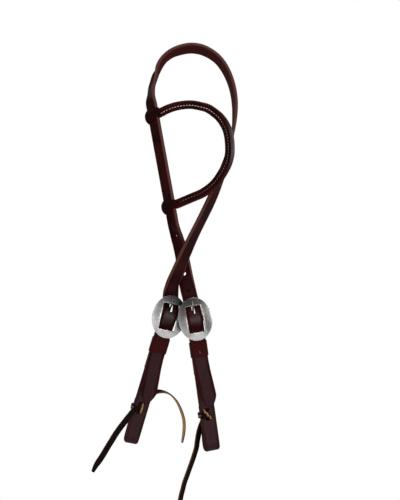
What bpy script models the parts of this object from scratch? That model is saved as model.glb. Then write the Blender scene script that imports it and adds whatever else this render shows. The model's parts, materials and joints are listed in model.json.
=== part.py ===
"""Western headstall with one slip ear, hanging from its crown with both cheeks crossed.

Metres, +Z up. The origin is on the underside of the crown's top, where it rests on the poll.
The front, which the viewer sees, faces -Y. "Left" and "right" are the viewer's.
One long strap runs from the right cheek's tip up the left side, over the crown, down the
right side and through the left cheek's buckle, so the two sides cross above the buckles.
"""

import math

import bmesh
import bpy
from mathutils import Vector

# Long strap and its route
STRAP_WIDTH = 0.019
STRAP_THICKNESS = 0.0038
STRAP_EDGE = 0.0009
LOOP_WIDTH = 0.101
LEG_DROP = 0.326
CROSSING_DEPTH = 0.0095
STRAP_STEP = 0.0065
GAP = 0.0003

# Cheeks: the bit-end straps and what they hold. A bar's place is a share of PLATE_WIDTH across,
# because the two plates lie side by side, and a share of LEG_DROP down.
LEFT_BAR_SHARES = (-0.7143, 0.997)
RIGHT_BAR_SHARES = (0.0433, 1.006)
LEFT_BAR_DEPTH = 0.0055
RIGHT_BAR_DEPTH = -0.0065
LEFT_TILT = math.radians(12)
RIGHT_TILT = math.radians(-10.3)
CHEEK_YAW = math.radians(8)
LEFT_LINE_START = -0.0004
RIGHT_LINE_START = 0.0004
LEFT_LINE_SLOPE = -0.082
RIGHT_LINE_SLOPE = -0.042
CHAPE_THICKNESS = 0.0032
CHEEK_LENGTH = 0.162
UPPER_TAIL_LENGTH = 0.068
FOLD_TAPER = 0.015
BIT_LOOP_RADIUS = 0.006
BIT_LOOP_WIDTH = 0.0135
TIE_TO_END = 0.0395
TIE_HEIGHT = 0.012
TIE_BOTTOM = CHEEK_LENGTH - TIE_TO_END
TIE_TOP = TIE_BOTTOM - TIE_HEIGHT
BACK_LAYER_REST = 0.0045
BACK_LAYER_END = TIE_TOP - BACK_LAYER_REST
BILLET_TO_TIE = 0.0015
BILLET_LENGTH = TIE_TOP - BILLET_TO_TIE
BILLET_POINT = 0.009

# Buckles
PLATE_WIDTH = 0.042
PLATE_HEIGHT = 0.0532
PLATE_THICKNESS = 0.0024
PLATE_RISE = 0.0152
DOME_SAG = 0.0036
WINDOW_WIDTH = 0.020
WINDOW_HEIGHT = 0.0325
WINDOW_BEVEL = 0.0009
PLATE_EDGE = 0.0007
LUG_WIDTH = 0.0026
LUG_DEPTH = 0.0072
LUG_CLEARANCE = 0.0009
LUG_BACK = 0.0008
BAR_RADIUS = 0.0022
TONGUE_WIDTH = 0.0032
TONGUE_WALL = 0.0016
TONGUE_RADIUS = 0.0011
TONGUE_NOTCH = 0.0015
TONGUE_LENGTH = 0.0218
TONGUE_SLOT_WIDTH = 0.0046
TONGUE_HOLE_PLACE = 0.011
TONGUE_HOLE_LENGTH = 0.0096

# Holes of the long strap, counted up from the bar
HOLE_RADIUS = 0.0025
HOLE_PITCH = 0.0245
HOLE_COUNT = 5

# Keepers
KEEPER_TO_PLATE = 0.0009
KEEPER_START = PLATE_HEIGHT / 2 + KEEPER_TO_PLATE
KEEPER_HEIGHT = 0.0185
KEEPER_WALL = 0.0015
KEEPER_CLEARANCE = 0.0006
KEEPER_EDGE = 0.0012
KEEPER_STITCH_LENGTH = 0.0034

# Ties and their laces
LACE_WIDTH = 0.0074
LACE_THICKNESS = 0.002
HELD_LACE_WIDTH = 0.0064
KNOT_DEPTH = 0.0058
KNOT_WIDTH = 0.0135
KNOT_HEIGHT = 0.0165

# Slip ear
EAR_WIDTH = 0.0115
ROLL_RADIUS = 0.0034
FLANGE_THICKNESS = 0.0032
CORE_RADIUS = 0.0017
EAR_STEP = 0.0052
EAR_NECK = 0.006
EAR_DEPTH = 0.0088
LOOP_BAND = 0.0105
LOOP_WALL = 0.0022
LOOP_CLEARANCE = 0.0005
LOOP_EDGE = 0.0008
THREAD_RADIUS = 0.00045
THREAD_STEP = 0.0034
STITCH_PLACE = -0.0025
GROOVE_WIDTH = 0.0017
GROOVE_DEPTH = 0.0006

OVERRUN = 0.004
SHORT_STEP = 0.0042

# Free lengths of lace, in metres, from the knot to the tip
LEFT_FRONT_TAIL = [
    (-0.0705, -0.0030, -0.4385), (-0.0728, -0.0028, -0.4412), (-0.0757, -0.0024, -0.4448),
    (-0.0795, -0.0018, -0.4495), (-0.0842, -0.0010, -0.4555), (-0.0897, -0.0004, -0.4628),
    (-0.0946, -0.0006, -0.4699), (-0.0989, -0.0010, -0.4770),
    (-0.1035, -0.0010, -0.4843), (-0.1078, -0.0008, -0.4917), (-0.1124, -0.0006, -0.4990),
    (-0.1174, -0.0004, -0.5063), (-0.1218, 0.0000, -0.5148),
]
LEFT_BACK_TAIL = [
    (-0.0626, 0.0120, -0.4268), (-0.0588, 0.0119, -0.4236), (-0.0531, 0.0114, -0.4212),
    (-0.0480, 0.0112, -0.4190), (-0.0425, 0.0108, -0.4176), (-0.0360, 0.0100, -0.4178),
    (-0.0295, 0.0088, -0.4198), (-0.0212, 0.0070, -0.4270), (-0.0144, 0.0055, -0.4393),
    (-0.0104, 0.0044, -0.4538), (-0.0107, 0.0036, -0.4675), (-0.0128, 0.0030, -0.4795),
]
RIGHT_FRONT_TAIL = [
    (0.0130, 0.0014, -0.4528), (0.0116, 0.0014, -0.4560), (0.0098, 0.0012, -0.4605),
    (0.0078, 0.0006, -0.4670), (0.0060, -0.0008, -0.4765), (0.0046, -0.0022, -0.4856),
    (0.0024, -0.0030, -0.4929), (-0.0004, -0.0028, -0.5014), (-0.0035, -0.0024, -0.5100),
    (-0.0065, -0.0020, -0.5185), (-0.0096, -0.0016, -0.5270), (-0.0118, -0.0012, -0.5356),
    (-0.0140, -0.0008, -0.5441), (-0.0155, -0.0004, -0.5527), (-0.0170, -0.0002, -0.5612),
    (-0.0178, 0.0000, -0.5697),
]
TAIL_TIP_SHARE = 0.5

# Route of the long strap between its two buckles: across as a share of LOOP_WIDTH, drop as a
# share of LEG_DROP, depth as a share of CROSSING_DEPTH, and the turn of the grain side in degrees.
LEFT_LEG_SHARES = [
    (-0.092, 0.838, -0.60, 66), (-0.115, 0.793, -1.00, 54), (-0.147, 0.745, -1.00, 49),
    (-0.192, 0.696, -0.79, 43), (-0.236, 0.646, -0.26, 36), (-0.248, 0.625, -0.26, 36),
    (-0.307, 0.524, -0.26, 36), (-0.373, 0.412, -0.26, 36), (-0.435, 0.307, -0.26, 36),
    (-0.490, 0.213, -0.26, 36), (-0.499, 0.198, -0.26, 36),
]
CROWN_SHARES = [
    (-0.499, 0.168, -0.21, 21), (-0.489, 0.142, -0.16, 18), (-0.470, 0.120, -0.11, 15),
    (-0.438, 0.092, -0.05, 12), (-0.397, 0.064, 0.00, -11), (-0.332, 0.034, 0.00, -16),
    (-0.254, 0.013, 0.00, -20), (-0.139, -0.001, 0.00, -25), (-0.018, -0.007, 0.00, -27),
    (0.103, -0.002, 0.00, -27), (0.211, 0.013, 0.00, -25), (0.312, 0.037, -0.05, -22),
    (0.393, 0.071, -0.16, -20), (0.455, 0.112, -0.26, -17), (0.495, 0.157, -0.37, -14),
]
RIGHT_LEG_SHARES = [
    (0.513, 0.206, -0.47, -11), (0.510, 0.251, -0.58, -7), (0.494, 0.299, -0.68, -1),
    (0.460, 0.356, -0.68, 6), (0.409, 0.412, -0.68, 13), (0.347, 0.468, -0.68, 20),
    (0.279, 0.524, -0.63, 25), (0.204, 0.576, -0.42, 28), (0.109, 0.636, 0.00, 28),
    (0.013, 0.696, 0.53, 30), (-0.066, 0.749, 0.89, 34), (-0.130, 0.793, 1.00, 38),
    (-0.185, 0.835, 0.84, 46), (-0.238, 0.876, 0.42, 57),
]
RUN_TOP_SHARES = (-0.490, 0.213)
RUN_BOTTOM_SHARES = (-0.248, 0.625)
RUN_DEPTH_SHARE = -0.26
RUN_TURN = math.radians(36)
UPPER_LOOP_SHARE = 0.236
LOWER_LOOP_SHARE = 0.580

# The billet in a cheek: distance below the bar as a share of BILLET_LENGTH, and its offset from
# the bit-end strap's line as a share of STRAP_WIDTH.
LEFT_BILLET_SHARES = [(0.99, 0.265), (0.85, 0.20), (0.72, 0.12), (0.60, 0.04), (0.50, 0.0), (0.28, 0.0)]
RIGHT_BILLET_SHARES = [(0.99, 0.23), (0.85, 0.18), (0.72, 0.11), (0.60, 0.04), (0.50, 0.0), (0.28, 0.0)]
# The billet over the bar and behind the top rim: distance below the bar as a share of half the
# plate's height, offset across as a share of STRAP_WIDTH, rise as a share of the rise at the bar.
LEFT_UPPER_SHARES = [(0.0, -0.03, 1.0), (-0.45, -0.065, 0.80), (-0.98, -0.14, 0.36)]
RIGHT_UPPER_SHARES = [(0.0, 0.02, 1.0), (-0.45, 0.01, 0.80), (-0.98, -0.02, 0.36)]
UPPER_TWIST = 6
# Where the billet comes down off the bar, as shares of FOLD_TAPER, and how late it follows.
BILLET_TAPER_SHARES = (1.2, 0.75, 0.35)
BILLET_LAG_SHARE = 0.84

# Tongue, from its ring to its tip: distance above the bar as a share of TONGUE_LENGTH, and rise
# above the bar as a share of PLATE_RISE.
TONGUE_SHARES = [
    (0.15, 0.14), (0.36, 0.26), (0.52, 0.46), (0.645, 0.70), (0.755, 0.872), (0.87, 0.875), (1.0, 0.818),
]

# Ear's middle line between its two necks: shares of LOOP_WIDTH and LEG_DROP, and depth as a
# share of EAR_DEPTH.
EAR_SHARES = [
    (-0.290, 0.2255, 0.88), (-0.200, 0.2115, 0.92), (-0.105, 0.2070, 0.95), (-0.008, 0.2073, 0.97),
    (0.095, 0.2130, 0.98), (0.181, 0.2205, 1.0), (0.263, 0.2370, 1.0), (0.329, 0.2545, 1.0),
    (0.382, 0.2770, 1.0), (0.417, 0.2990, 1.0), (0.440, 0.3270, 1.0), (0.449, 0.3555, 1.0),
    (0.447, 0.3930, 1.0), (0.423, 0.4230, 1.0), (0.356, 0.4641, 1.0), (0.269, 0.5015, 0.97),
    (0.139, 0.5333, 0.94), (-0.023, 0.5558, 0.90),
]


def clear_scene():
    for item in list(bpy.data.objects):
        bpy.data.objects.remove(item)


def finish(name, colour, roughness, metallic=0.0):
    material = bpy.data.materials.new(name)
    material.use_nodes = True
    shader = material.node_tree.nodes["Principled BSDF"]
    shader.inputs["Base Color"].default_value = (*colour, 1)
    shader.inputs["Roughness"].default_value = roughness
    shader.inputs["Metallic"].default_value = metallic
    return material


def place_object(name, points, faces, material, origin=Vector()):
    """A mesh object whose origin is at the given point, with its points given in the world."""
    mesh = bpy.data.meshes.new(name)
    mesh.from_pydata([Vector(point) - origin for point in points], [], faces)
    shape = bmesh.new()
    shape.from_mesh(mesh)
    bmesh.ops.recalc_face_normals(shape, faces=shape.faces)
    shape.to_mesh(mesh)
    shape.free()
    mesh.materials.append(material)
    mesh.shade_smooth()
    mesh.set_sharp_from_angle(angle=math.radians(40))
    item = bpy.data.objects.new(name, mesh)
    item.location = origin
    bpy.context.scene.collection.objects.link(item)
    return item


def combine(item, other, operation):
    modifier = item.modifiers.new(operation.lower(), "BOOLEAN")
    modifier.operation = operation
    modifier.solver = "EXACT"
    modifier.object = other
    other.hide_render = True
    other.display_type = "WIRE"


def smooth_path(rows, step):
    """Rows of numbers, place first, joined by a smooth curve and read about every step."""
    rows = [tuple(row) for row in rows]
    spans = [(Vector(b[:3]) - Vector(a[:3])).length for a, b in zip(rows, rows[1:])]
    slopes = [row_slope(rows, spans, index) for index in range(len(rows))]
    path = [rows[0]]
    for index, span in enumerate(spans):
        count = max(1, round(span / step))
        for number in range(1, count + 1):
            path.append(tuple(
                bend(number / count, start, end, start_slope * span, end_slope * span)
                for start, end, start_slope, end_slope in
                zip(rows[index], rows[index + 1], slopes[index], slopes[index + 1])
            ))
    return path


def row_slope(rows, spans, index):
    """How fast each number changes with distance at a row, the nearer neighbour counting more."""
    if index == 0 or index == len(rows) - 1:
        first = min(index, len(spans) - 1)
        return [(b - a) / spans[first] for a, b in zip(rows[first], rows[first + 1])]
    before, after = spans[index - 1], spans[index]
    return [
        ((here - low) / before * after + (high - here) / after * before) / (before + after)
        for low, here, high in zip(rows[index - 1], rows[index], rows[index + 1])
    ]


def bend(share, start, end, start_slope, end_slope):
    """A cubic between two values with given slopes, which are per unit of the share."""
    square, cube = share * share, share ** 3
    return (
        (2 * cube - 3 * square + 1) * start + (cube - 2 * square + share) * start_slope
        + (3 * square - 2 * cube) * end + (cube - square) * end_slope
    )


def tangents(points, closed=False):
    count = len(points)
    found = []
    for index in range(count):
        if closed:
            ahead, behind = points[(index + 1) % count], points[index - 1]
        else:
            ahead, behind = points[min(index + 1, count - 1)], points[max(index - 1, 0)]
        found.append((ahead - behind).normalized())
    return found


def box_section(width, thickness, edge):
    """Eight corners of a flat strap's section: across first, then towards its face."""
    side, face = width / 2, thickness / 2
    return [
        (side, face - edge), (side - edge, face), (edge - side, face), (-side, face - edge),
        (-side, edge - face), (edge - side, -face), (side - edge, -face), (side, edge - face),
    ]


def round_section(radius, sides):
    turn = 2 * math.pi / sides
    return [(radius * math.cos(turn * k), radius * math.sin(turn * k)) for k in range(sides)]


def loft(rings, closed=False):
    """Faces that join rings of points, with a cap on each open end."""
    points = [point for ring in rings for point in ring]
    sides, count = len(rings[0]), len(rings)
    faces = []
    for ring in range(count if closed else count - 1):
        here, there = ring * sides, (ring + 1) % count * sides
        for k in range(sides):
            after = (k + 1) % sides
            faces.append((here + k, here + after, there + after, there + k))
    if not closed:
        faces.append(tuple(range(sides)))
        faces.append(tuple(range((count - 1) * sides, count * sides)))
    return points, faces


def tube_loft(outer, inner):
    """Faces of a pipe between outer and inner rings, open at both ends."""
    sides, bore_sides, count = len(outer[0]), len(inner[0]), len(outer)
    points = [point for ring in outer for point in ring] + [point for ring in inner for point in ring]
    shift = sides * count
    faces = []
    for ring in range(count - 1):
        for k in range(sides):
            after = (k + 1) % sides
            here, there = ring * sides, (ring + 1) * sides
            faces.append((here + k, here + after, there + after, there + k))
        for k in range(bore_sides):
            after = (k + 1) % bore_sides
            here, there = shift + ring * bore_sides, shift + (ring + 1) * bore_sides
            faces.append((here + k, there + k, there + after, here + after))
    return points, faces, shift


def ring_at(place, across, facing, section, scale=1.0):
    return [place + across * (u * scale) + facing * (v * scale) for u, v in section]


def leg_point(across_share, drop_share, depth_share):
    return Vector((LOOP_WIDTH * across_share, -CROSSING_DEPTH * depth_share, -LEG_DROP * drop_share))


class Cheek:
    """One cheek's own directions: right along the bar, down the strap and out to the viewer."""

    def __init__(self, side, bar_shares, depth, tilt, line_start, line_slope, billet, upper):
        self.side = side
        self.bar = Vector((PLATE_WIDTH * bar_shares[0], depth, -LEG_DROP * bar_shares[1]))
        level, front = Vector((math.cos(tilt), 0, -math.sin(tilt))), Vector((0, -1, 0))
        self.right = level * math.cos(CHEEK_YAW) - front * math.sin(CHEEK_YAW)
        self.down = Vector((-math.sin(tilt), 0, -math.cos(tilt)))
        self.out = front * math.cos(CHEEK_YAW) + level * math.sin(CHEEK_YAW)
        self.turn = 90 + math.degrees(CHEEK_YAW) * (1 if side == "right" else -1)
        self.line_start, self.line_slope = line_start, line_slope
        self.billet_shares, self.upper_shares = billet, upper

    def at(self, across, down, out):
        return self.bar + self.right * across + self.down * down + self.out * out

    def line(self, down):
        return self.line_start + self.line_slope * down

    def box(self, name, low, high, material):
        """A plain block between two corners, for cutting."""
        corners = [(u, d, n) for u in (low[0], high[0]) for d in (low[1], high[1]) for n in (low[2], high[2])]
        faces = [(0, 1, 3, 2), (4, 6, 7, 5), (0, 4, 5, 1), (2, 3, 7, 6), (0, 2, 6, 4), (1, 5, 7, 3)]
        return place_object(name, [self.at(*corner) for corner in corners], faces, material)


HALF_STACK = (CHAPE_THICKNESS + GAP) / 2
FOLD_RADIUS = BAR_RADIUS + GAP + CHAPE_THICKNESS / 2
BILLET_RISE = CHAPE_THICKNESS / 2 + GAP + STRAP_THICKNESS / 2
LEFT = Cheek("left", LEFT_BAR_SHARES, LEFT_BAR_DEPTH, LEFT_TILT, LEFT_LINE_START, LEFT_LINE_SLOPE,
             LEFT_BILLET_SHARES, LEFT_UPPER_SHARES)
RIGHT = Cheek("right", RIGHT_BAR_SHARES, RIGHT_BAR_DEPTH, RIGHT_TILT, RIGHT_LINE_START, RIGHT_LINE_SLOPE,
              RIGHT_BILLET_SHARES, RIGHT_UPPER_SHARES)


def layer_rise(down):
    """Height of the bit-end strap's front layer: round the bar, then flat on the back layer."""
    share = min(max(down / FOLD_TAPER, 0), 1)
    ease = share * share * (3 - 2 * share)
    return FOLD_RADIUS + (HALF_STACK - FOLD_RADIUS) * ease


def billet_rows(cheek):
    """The long strap's places in one cheek, from its tip up to the top rim, with its turn."""
    rows = []
    for down_share, offset_share in cheek.billet_shares:
        down = BILLET_LENGTH * down_share
        across = cheek.line(down) + STRAP_WIDTH * offset_share
        rows.append((*cheek.at(across, down, layer_rise(down) + BILLET_RISE), cheek.turn))
    for taper_share in BILLET_TAPER_SHARES:
        near = FOLD_TAPER * taper_share
        rise = layer_rise(near * BILLET_LAG_SHARE) + BILLET_RISE
        rows.append((*cheek.at(cheek.line(near) * min(taper_share, 1), near, rise), cheek.turn))
    bar_rise = FOLD_RADIUS + BILLET_RISE
    for down_share, offset_share, rise_share in cheek.upper_shares:
        down = PLATE_HEIGHT / 2 * down_share
        turn = cheek.turn + UPPER_TWIST * down_share
        rows.append((*cheek.at(STRAP_WIDTH * offset_share, down, bar_rise * rise_share), turn))
    return rows


def long_strap_path():
    leg_rows = [
        (*leg_point(across, drop, depth), turn)
        for across, drop, depth, turn in LEFT_LEG_SHARES + CROWN_SHARES + RIGHT_LEG_SHARES
    ]
    rows = billet_rows(RIGHT) + leg_rows + billet_rows(LEFT)[::-1]
    return smooth_path(rows, STRAP_STEP)


def strap_directions(tangent, turn):
    """Across and grain-side directions of the long strap where its grain side is turned so."""
    outward = Vector((-tangent.z, 0, tangent.x)).normalized()
    facing = outward * math.cos(turn) + Vector((0, -1, 0)) * math.sin(turn)
    facing = (facing - tangent * facing.dot(tangent)).normalized()
    return tangent.cross(facing), facing


def point_width(distance):
    """Width of a strap this far from its rounded, pointed tip."""
    share = min(distance / BILLET_POINT, 1)
    return STRAP_WIDTH * (0.22 + 0.78 * math.sqrt(1 - (1 - share) ** 2))


def crown_strap(material):
    path = long_strap_path()
    places = [Vector(row[:3]) for row in path]
    travelled = [0.0]
    for before, after in zip(places, places[1:]):
        travelled.append(travelled[-1] + (after - before).length)
    rings = []
    for place, tangent, row, way in zip(places, tangents(places), path, travelled):
        across, facing = strap_directions(tangent, math.radians(row[3]))
        width = point_width(min(way, travelled[-1] - way))
        rings.append(ring_at(place, across, facing, box_section(width, STRAP_THICKNESS, STRAP_EDGE)))
    strap = place_object("crown_strap", *loft(rings), material)
    for cheek in (LEFT, RIGHT):
        combine(strap, tongue_hole(cheek, material), "DIFFERENCE")
    for number, (place, tangent, facing) in enumerate(hole_places(places, path, travelled)):
        combine(strap, punch(f"hole_punch_{number}", place, tangent, facing, material), "DIFFERENCE")
    return strap


def hole_places(places, path, travelled):
    """Where the left side's spare holes are: a pitch apart, up from the tongue's hole."""
    bar = min(range(len(places) // 2), key=lambda k: (places[k] - RIGHT.bar).length)
    found = []
    for number in range(1, HOLE_COUNT):
        target = travelled[bar] + TONGUE_HOLE_PLACE + HOLE_PITCH * number
        index = next(k for k in range(len(travelled)) if travelled[k] > target)
        share = (target - travelled[index - 1]) / (travelled[index] - travelled[index - 1])
        place = places[index - 1].lerp(places[index], share)
        tangent = (places[index] - places[index - 1]).normalized()
        turn = path[index - 1][3] + (path[index][3] - path[index - 1][3]) * share
        found.append((place, tangent, strap_directions(tangent, math.radians(turn))[1]))
    return found


def punch(name, place, tangent, facing, material, radius=HOLE_RADIUS, sides=12):
    across = tangent.cross(facing)
    section = round_section(radius, sides)
    rings = [ring_at(place + facing * reach, across, tangent, section)
             for reach in (-STRAP_THICKNESS / 2 - OVERRUN, STRAP_THICKNESS / 2 + OVERRUN)]
    return place_object(name, *loft(rings), material)


def tongue_hole(cheek, material):
    """A long hole in the billet that the tongue leans through."""
    half = TONGUE_HOLE_LENGTH / 2 - HOLE_RADIUS
    outline = []
    for k in range(12):
        turn = 2 * math.pi * (k + 0.5) / 12
        shift = half if math.sin(turn) > 0 else -half
        outline.append((HOLE_RADIUS * math.cos(turn), HOLE_RADIUS * math.sin(turn) + shift))
    low, high = FOLD_RADIUS - OVERRUN, PLATE_RISE + OVERRUN
    rings = [[cheek.at(u, d - TONGUE_HOLE_PLACE, n) for u, d in outline] for n in (low, high)]
    return place_object(f"{cheek.side}_tongue_punch", *loft(rings), material)


def bit_end_strap(cheek, material):
    """Folded round the bar, down in front, round under the bit and up behind to the tie."""
    rows = []
    for down in (UPPER_TAIL_LENGTH, UPPER_TAIL_LENGTH * 0.8, UPPER_TAIL_LENGTH * 0.5, FOLD_TAPER,
                 FOLD_TAPER * 0.66, FOLD_TAPER * 0.33):
        rows.append((down, -layer_rise(down), STRAP_WIDTH))
    for k in range(7):
        turn = math.pi * k / 6
        rows.append((-FOLD_RADIUS * math.sin(turn), -FOLD_RADIUS * math.cos(turn), STRAP_WIDTH))
    bend_radius = BIT_LOOP_RADIUS + CHAPE_THICKNESS / 2
    bend_centre = CHEEK_LENGTH - CHAPE_THICKNESS / 2 - bend_radius
    narrow = STRAP_WIDTH - BIT_LOOP_WIDTH
    for down in (FOLD_TAPER * 0.33, FOLD_TAPER * 0.66, FOLD_TAPER, UPPER_TAIL_LENGTH * 0.5,
                 UPPER_TAIL_LENGTH, TIE_TOP, TIE_BOTTOM, bend_centre - bend_radius * 0.6):
        rows.append((down, layer_rise(down), STRAP_WIDTH))
    for k in range(9):
        turn = math.pi * k / 8
        width = STRAP_WIDTH - narrow * math.sin(turn) ** 2
        rows.append((bend_centre + bend_radius * math.sin(turn),
                     HALF_STACK - bend_radius * (1 - math.cos(turn)), width))
    low, high = TIE_BOTTOM + LACE_THICKNESS * 2, bend_centre
    for k in range(1, 6):
        share = k / 5
        ease = share * share * (3 - 2 * share)
        start = HALF_STACK - 2 * bend_radius
        rows.append((high + (low - high) * share, start + (-HALF_STACK - start) * ease, STRAP_WIDTH))
    rows.append((TIE_TOP, -HALF_STACK, STRAP_WIDTH))
    rows.append((BACK_LAYER_END, -HALF_STACK, STRAP_WIDTH))
    centres = [cheek.at(0, down, out) for down, out, _ in rows]
    rings = []
    for (down, out, width), tangent in zip(rows, tangents(centres)):
        facing = cheek.right.cross(tangent)
        section = box_section(width, CHAPE_THICKNESS, STRAP_EDGE)
        rings.append(ring_at(cheek.at(cheek.line(down), down, out), cheek.right, facing, section))
    strap = place_object(f"{cheek.side}_bit_end_strap", *loft(rings), material)
    reach = HALF_STACK + CHAPE_THICKNESS / 2 + OVERRUN
    half = LACE_THICKNESS / 2 + GAP
    for number, down in enumerate((TIE_TOP, TIE_BOTTOM)):
        middle = cheek.line(down)
        side = HELD_LACE_WIDTH / 2 + GAP
        slot = cheek.box(f"{cheek.side}_lace_slot_{number}", (middle - side, down - half, -reach),
                         (middle + side, down + half, reach), material)
        combine(strap, slot, "DIFFERENCE")
    side = TONGUE_SLOT_WIDTH / 2
    ring = BAR_RADIUS + GAP + TONGUE_WALL
    slot = cheek.box(f"{cheek.side}_tongue_slot", (-side, -FOLD_RADIUS - OVERRUN, -FOLD_RADIUS - OVERRUN),
                     (side, ring + SHORT_STEP, FOLD_RADIUS + OVERRUN), material)
    combine(strap, slot, "DIFFERENCE")
    return strap


def dome(across, down):
    """Rise of the plate's front over the bar."""
    return PLATE_RISE - DOME_SAG * ((2 * across / PLATE_WIDTH) ** 2 + (2 * down / PLATE_HEIGHT) ** 2)


def window_reach(turn):
    """Distance from the plate's middle to the window's edge, a rectangle with small corners."""
    wide = abs(2 * math.cos(turn) / WINDOW_WIDTH)
    high = abs(2 * math.sin(turn) / WINDOW_HEIGHT)
    return (wide ** 12 + high ** 12) ** (-1 / 12)


def plate_reach(turn):
    wide = 2 * math.cos(turn) / PLATE_WIDTH
    high = 2 * math.sin(turn) / PLATE_HEIGHT
    return 1 / math.hypot(wide, high)


def plate_turns():
    """Directions round the plate, closer together at the window's corners."""
    corner = math.atan2(WINDOW_HEIGHT, WINDOW_WIDTH)
    quarter = [0, 0.35 * corner, 0.68 * corner, 0.93 * corner, corner, corner + 0.07 * corner]
    quarter += [corner + (math.pi / 2 - corner) * share for share in (0.38, 0.70)]
    upper = quarter + [math.pi / 2] + [math.pi - turn for turn in reversed(quarter[1:])]
    return upper + [math.pi + turn for turn in upper]


def buckle_frame(cheek, material):
    """Domed oval plate with a window, and a lug behind each side that holds the bar."""
    loops = []
    spans = (
        (0.0, 0.0, WINDOW_BEVEL * 1.6, 0), (0.0, WINDOW_BEVEL, 0.0, 0), (0.5, 0.0, 0.0, 0),
        (1.0, -PLATE_EDGE, 0.0, 0), (1.0, 0.0, PLATE_EDGE, 0), (1.0, 0.0, PLATE_EDGE, 1),
        (1.0, -PLATE_EDGE, 0.0, 1), (0.5, 0.0, 0.0, 1), (0.0, 0.0, 0.0, 1),
    )
    for share, inset, fall, back in spans:
        loop = []
        for turn in plate_turns():
            near, far = window_reach(turn), plate_reach(turn)
            reach = near + (far - near) * share + inset
            across, down = reach * math.cos(turn), reach * math.sin(turn)
            rise = dome(across, down) - (PLATE_THICKNESS - fall if back else fall)
            loop.append(cheek.at(across, down, rise))
        loops.append(loop)
    plate = place_object(f"{cheek.side}_buckle_frame", *loft(loops, closed=True), material, cheek.bar)
    inner = STRAP_WIDTH / 2 + LUG_CLEARANCE
    for sign, word in ((-1, "a"), (1, "b")):
        sides = sorted((sign * inner, sign * (inner + LUG_WIDTH)))
        top = dome(inner + LUG_WIDTH, 0) - PLATE_THICKNESS / 2
        lug = cheek.box(f"{cheek.side}_lug_{word}", (sides[0], -LUG_DEPTH / 2, -BAR_RADIUS - LUG_BACK),
                        (sides[1], LUG_DEPTH / 2, top), material)
        combine(plate, lug, "UNION")
    combine(plate, bar_cylinder(cheek, f"{cheek.side}_bar_drill", BAR_RADIUS + GAP, OVERRUN, material),
            "DIFFERENCE")
    half = TONGUE_RADIUS + GAP
    floor = dome(0, WINDOW_HEIGHT / 2) - TONGUE_NOTCH
    notch = cheek.box(f"{cheek.side}_notch_cut", (-half, -TONGUE_LENGTH - half, floor - half),
                      (half, 0, PLATE_RISE + OVERRUN), material)
    combine(plate, notch, "DIFFERENCE")
    return plate


def bar_cylinder(cheek, name, radius, extra, material, origin=None):
    half = STRAP_WIDTH / 2 + LUG_CLEARANCE + LUG_WIDTH + extra
    section = round_section(radius, 16)
    rings = [[cheek.at(across, down, out) for down, out in section] for across in (-half, half)]
    return place_object(name, *loft(rings), material, origin or Vector())


def buckle_tongue(cheek, material):
    """A ring on the bar with a shank that leans through the billet to the notch."""
    outer, inner = BAR_RADIUS + GAP + TONGUE_WALL, BAR_RADIUS + GAP
    loops = []
    for radius, side in ((inner, -1), (outer, -1), (outer, 1), (inner, 1)):
        across = side * TONGUE_WIDTH / 2
        loops.append([cheek.at(across, down, out) for down, out in round_section(radius, 16)])
    ring = place_object(f"{cheek.side}_buckle_tongue", *loft(loops, closed=True), material, cheek.bar)
    rows = [tuple(cheek.at(0, -TONGUE_LENGTH * up, PLATE_RISE * rise)) for up, rise in TONGUE_SHARES]
    places = [Vector(row) for row in smooth_path(rows, TONGUE_RADIUS * 2)]
    rings = []
    for index, (place, tangent) in enumerate(zip(places, tangents(places))):
        scale = 0.75 if index in (0, len(places) - 1) else 1.0
        facing = cheek.right.cross(tangent)
        rings.append(ring_at(place, cheek.right, facing, round_section(TONGUE_RADIUS, 8), scale))
    shank = place_object(f"{cheek.side}_tongue_shank", *loft(rings), material)
    combine(ring, shank, "UNION")
    return ring


def band_section(half_across, low, high, edge):
    """A rectangle with cut corners, across and out."""
    return [
        (half_across, high - edge), (half_across - edge, high), (edge - half_across, high),
        (-half_across, high - edge), (-half_across, low + edge), (edge - half_across, low),
        (half_across - edge, low), (half_across, low + edge),
    ]


def keeper(cheek, material):
    """A leather band that slides on the bit-end strap and holds the billet down."""
    inner_half = STRAP_WIDTH / 2 + KEEPER_CLEARANCE
    low = -HALF_STACK - CHAPE_THICKNESS / 2 - KEEPER_CLEARANCE
    high = HALF_STACK + BILLET_RISE + STRAP_THICKNESS / 2 + KEEPER_CLEARANCE
    inner = band_section(inner_half, low, high, STRAP_EDGE / 2)
    outer = band_section(inner_half + KEEPER_WALL, low - KEEPER_WALL, high + KEEPER_WALL, KEEPER_EDGE)
    lip = band_section(inner_half + KEEPER_WALL - KEEPER_EDGE / 2, low - KEEPER_WALL + KEEPER_EDGE / 2,
                       high + KEEPER_WALL - KEEPER_EDGE / 2, KEEPER_EDGE)
    end = KEEPER_START + KEEPER_HEIGHT
    half_edge = KEEPER_EDGE / 2
    loops = []
    for down, section in ((KEEPER_START, inner), (KEEPER_START, lip), (KEEPER_START + half_edge, outer),
                          (end - half_edge, outer), (end, lip), (end, inner)):
        loops.append([cheek.at(cheek.line(down) + across, down, out) for across, out in section])
    origin = cheek.at(cheek.line(KEEPER_START), KEEPER_START, 0)
    return place_object(f"{cheek.side}_keeper", *loft(loops, closed=True), material, origin)


def keeper_stitch(cheek, material):
    """One short light stitch on the keeper's front."""
    middle = KEEPER_START + KEEPER_HEIGHT * 0.72
    rise = (HALF_STACK + BILLET_RISE + STRAP_THICKNESS / 2 + KEEPER_CLEARANCE + KEEPER_WALL + GAP
            + THREAD_RADIUS)
    rings = []
    for share, scale in ((-1, 0.5), (-0.7, 1), (0.7, 1), (1, 0.5)):
        down = middle + KEEPER_STITCH_LENGTH / 2 * share
        section = round_section(THREAD_RADIUS * scale, 8)
        rings.append([cheek.at(cheek.line(down) + u, down, rise + n) for u, n in section])
    return place_object(f"{cheek.side}_keeper_stitch", *loft(rings), material)


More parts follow.
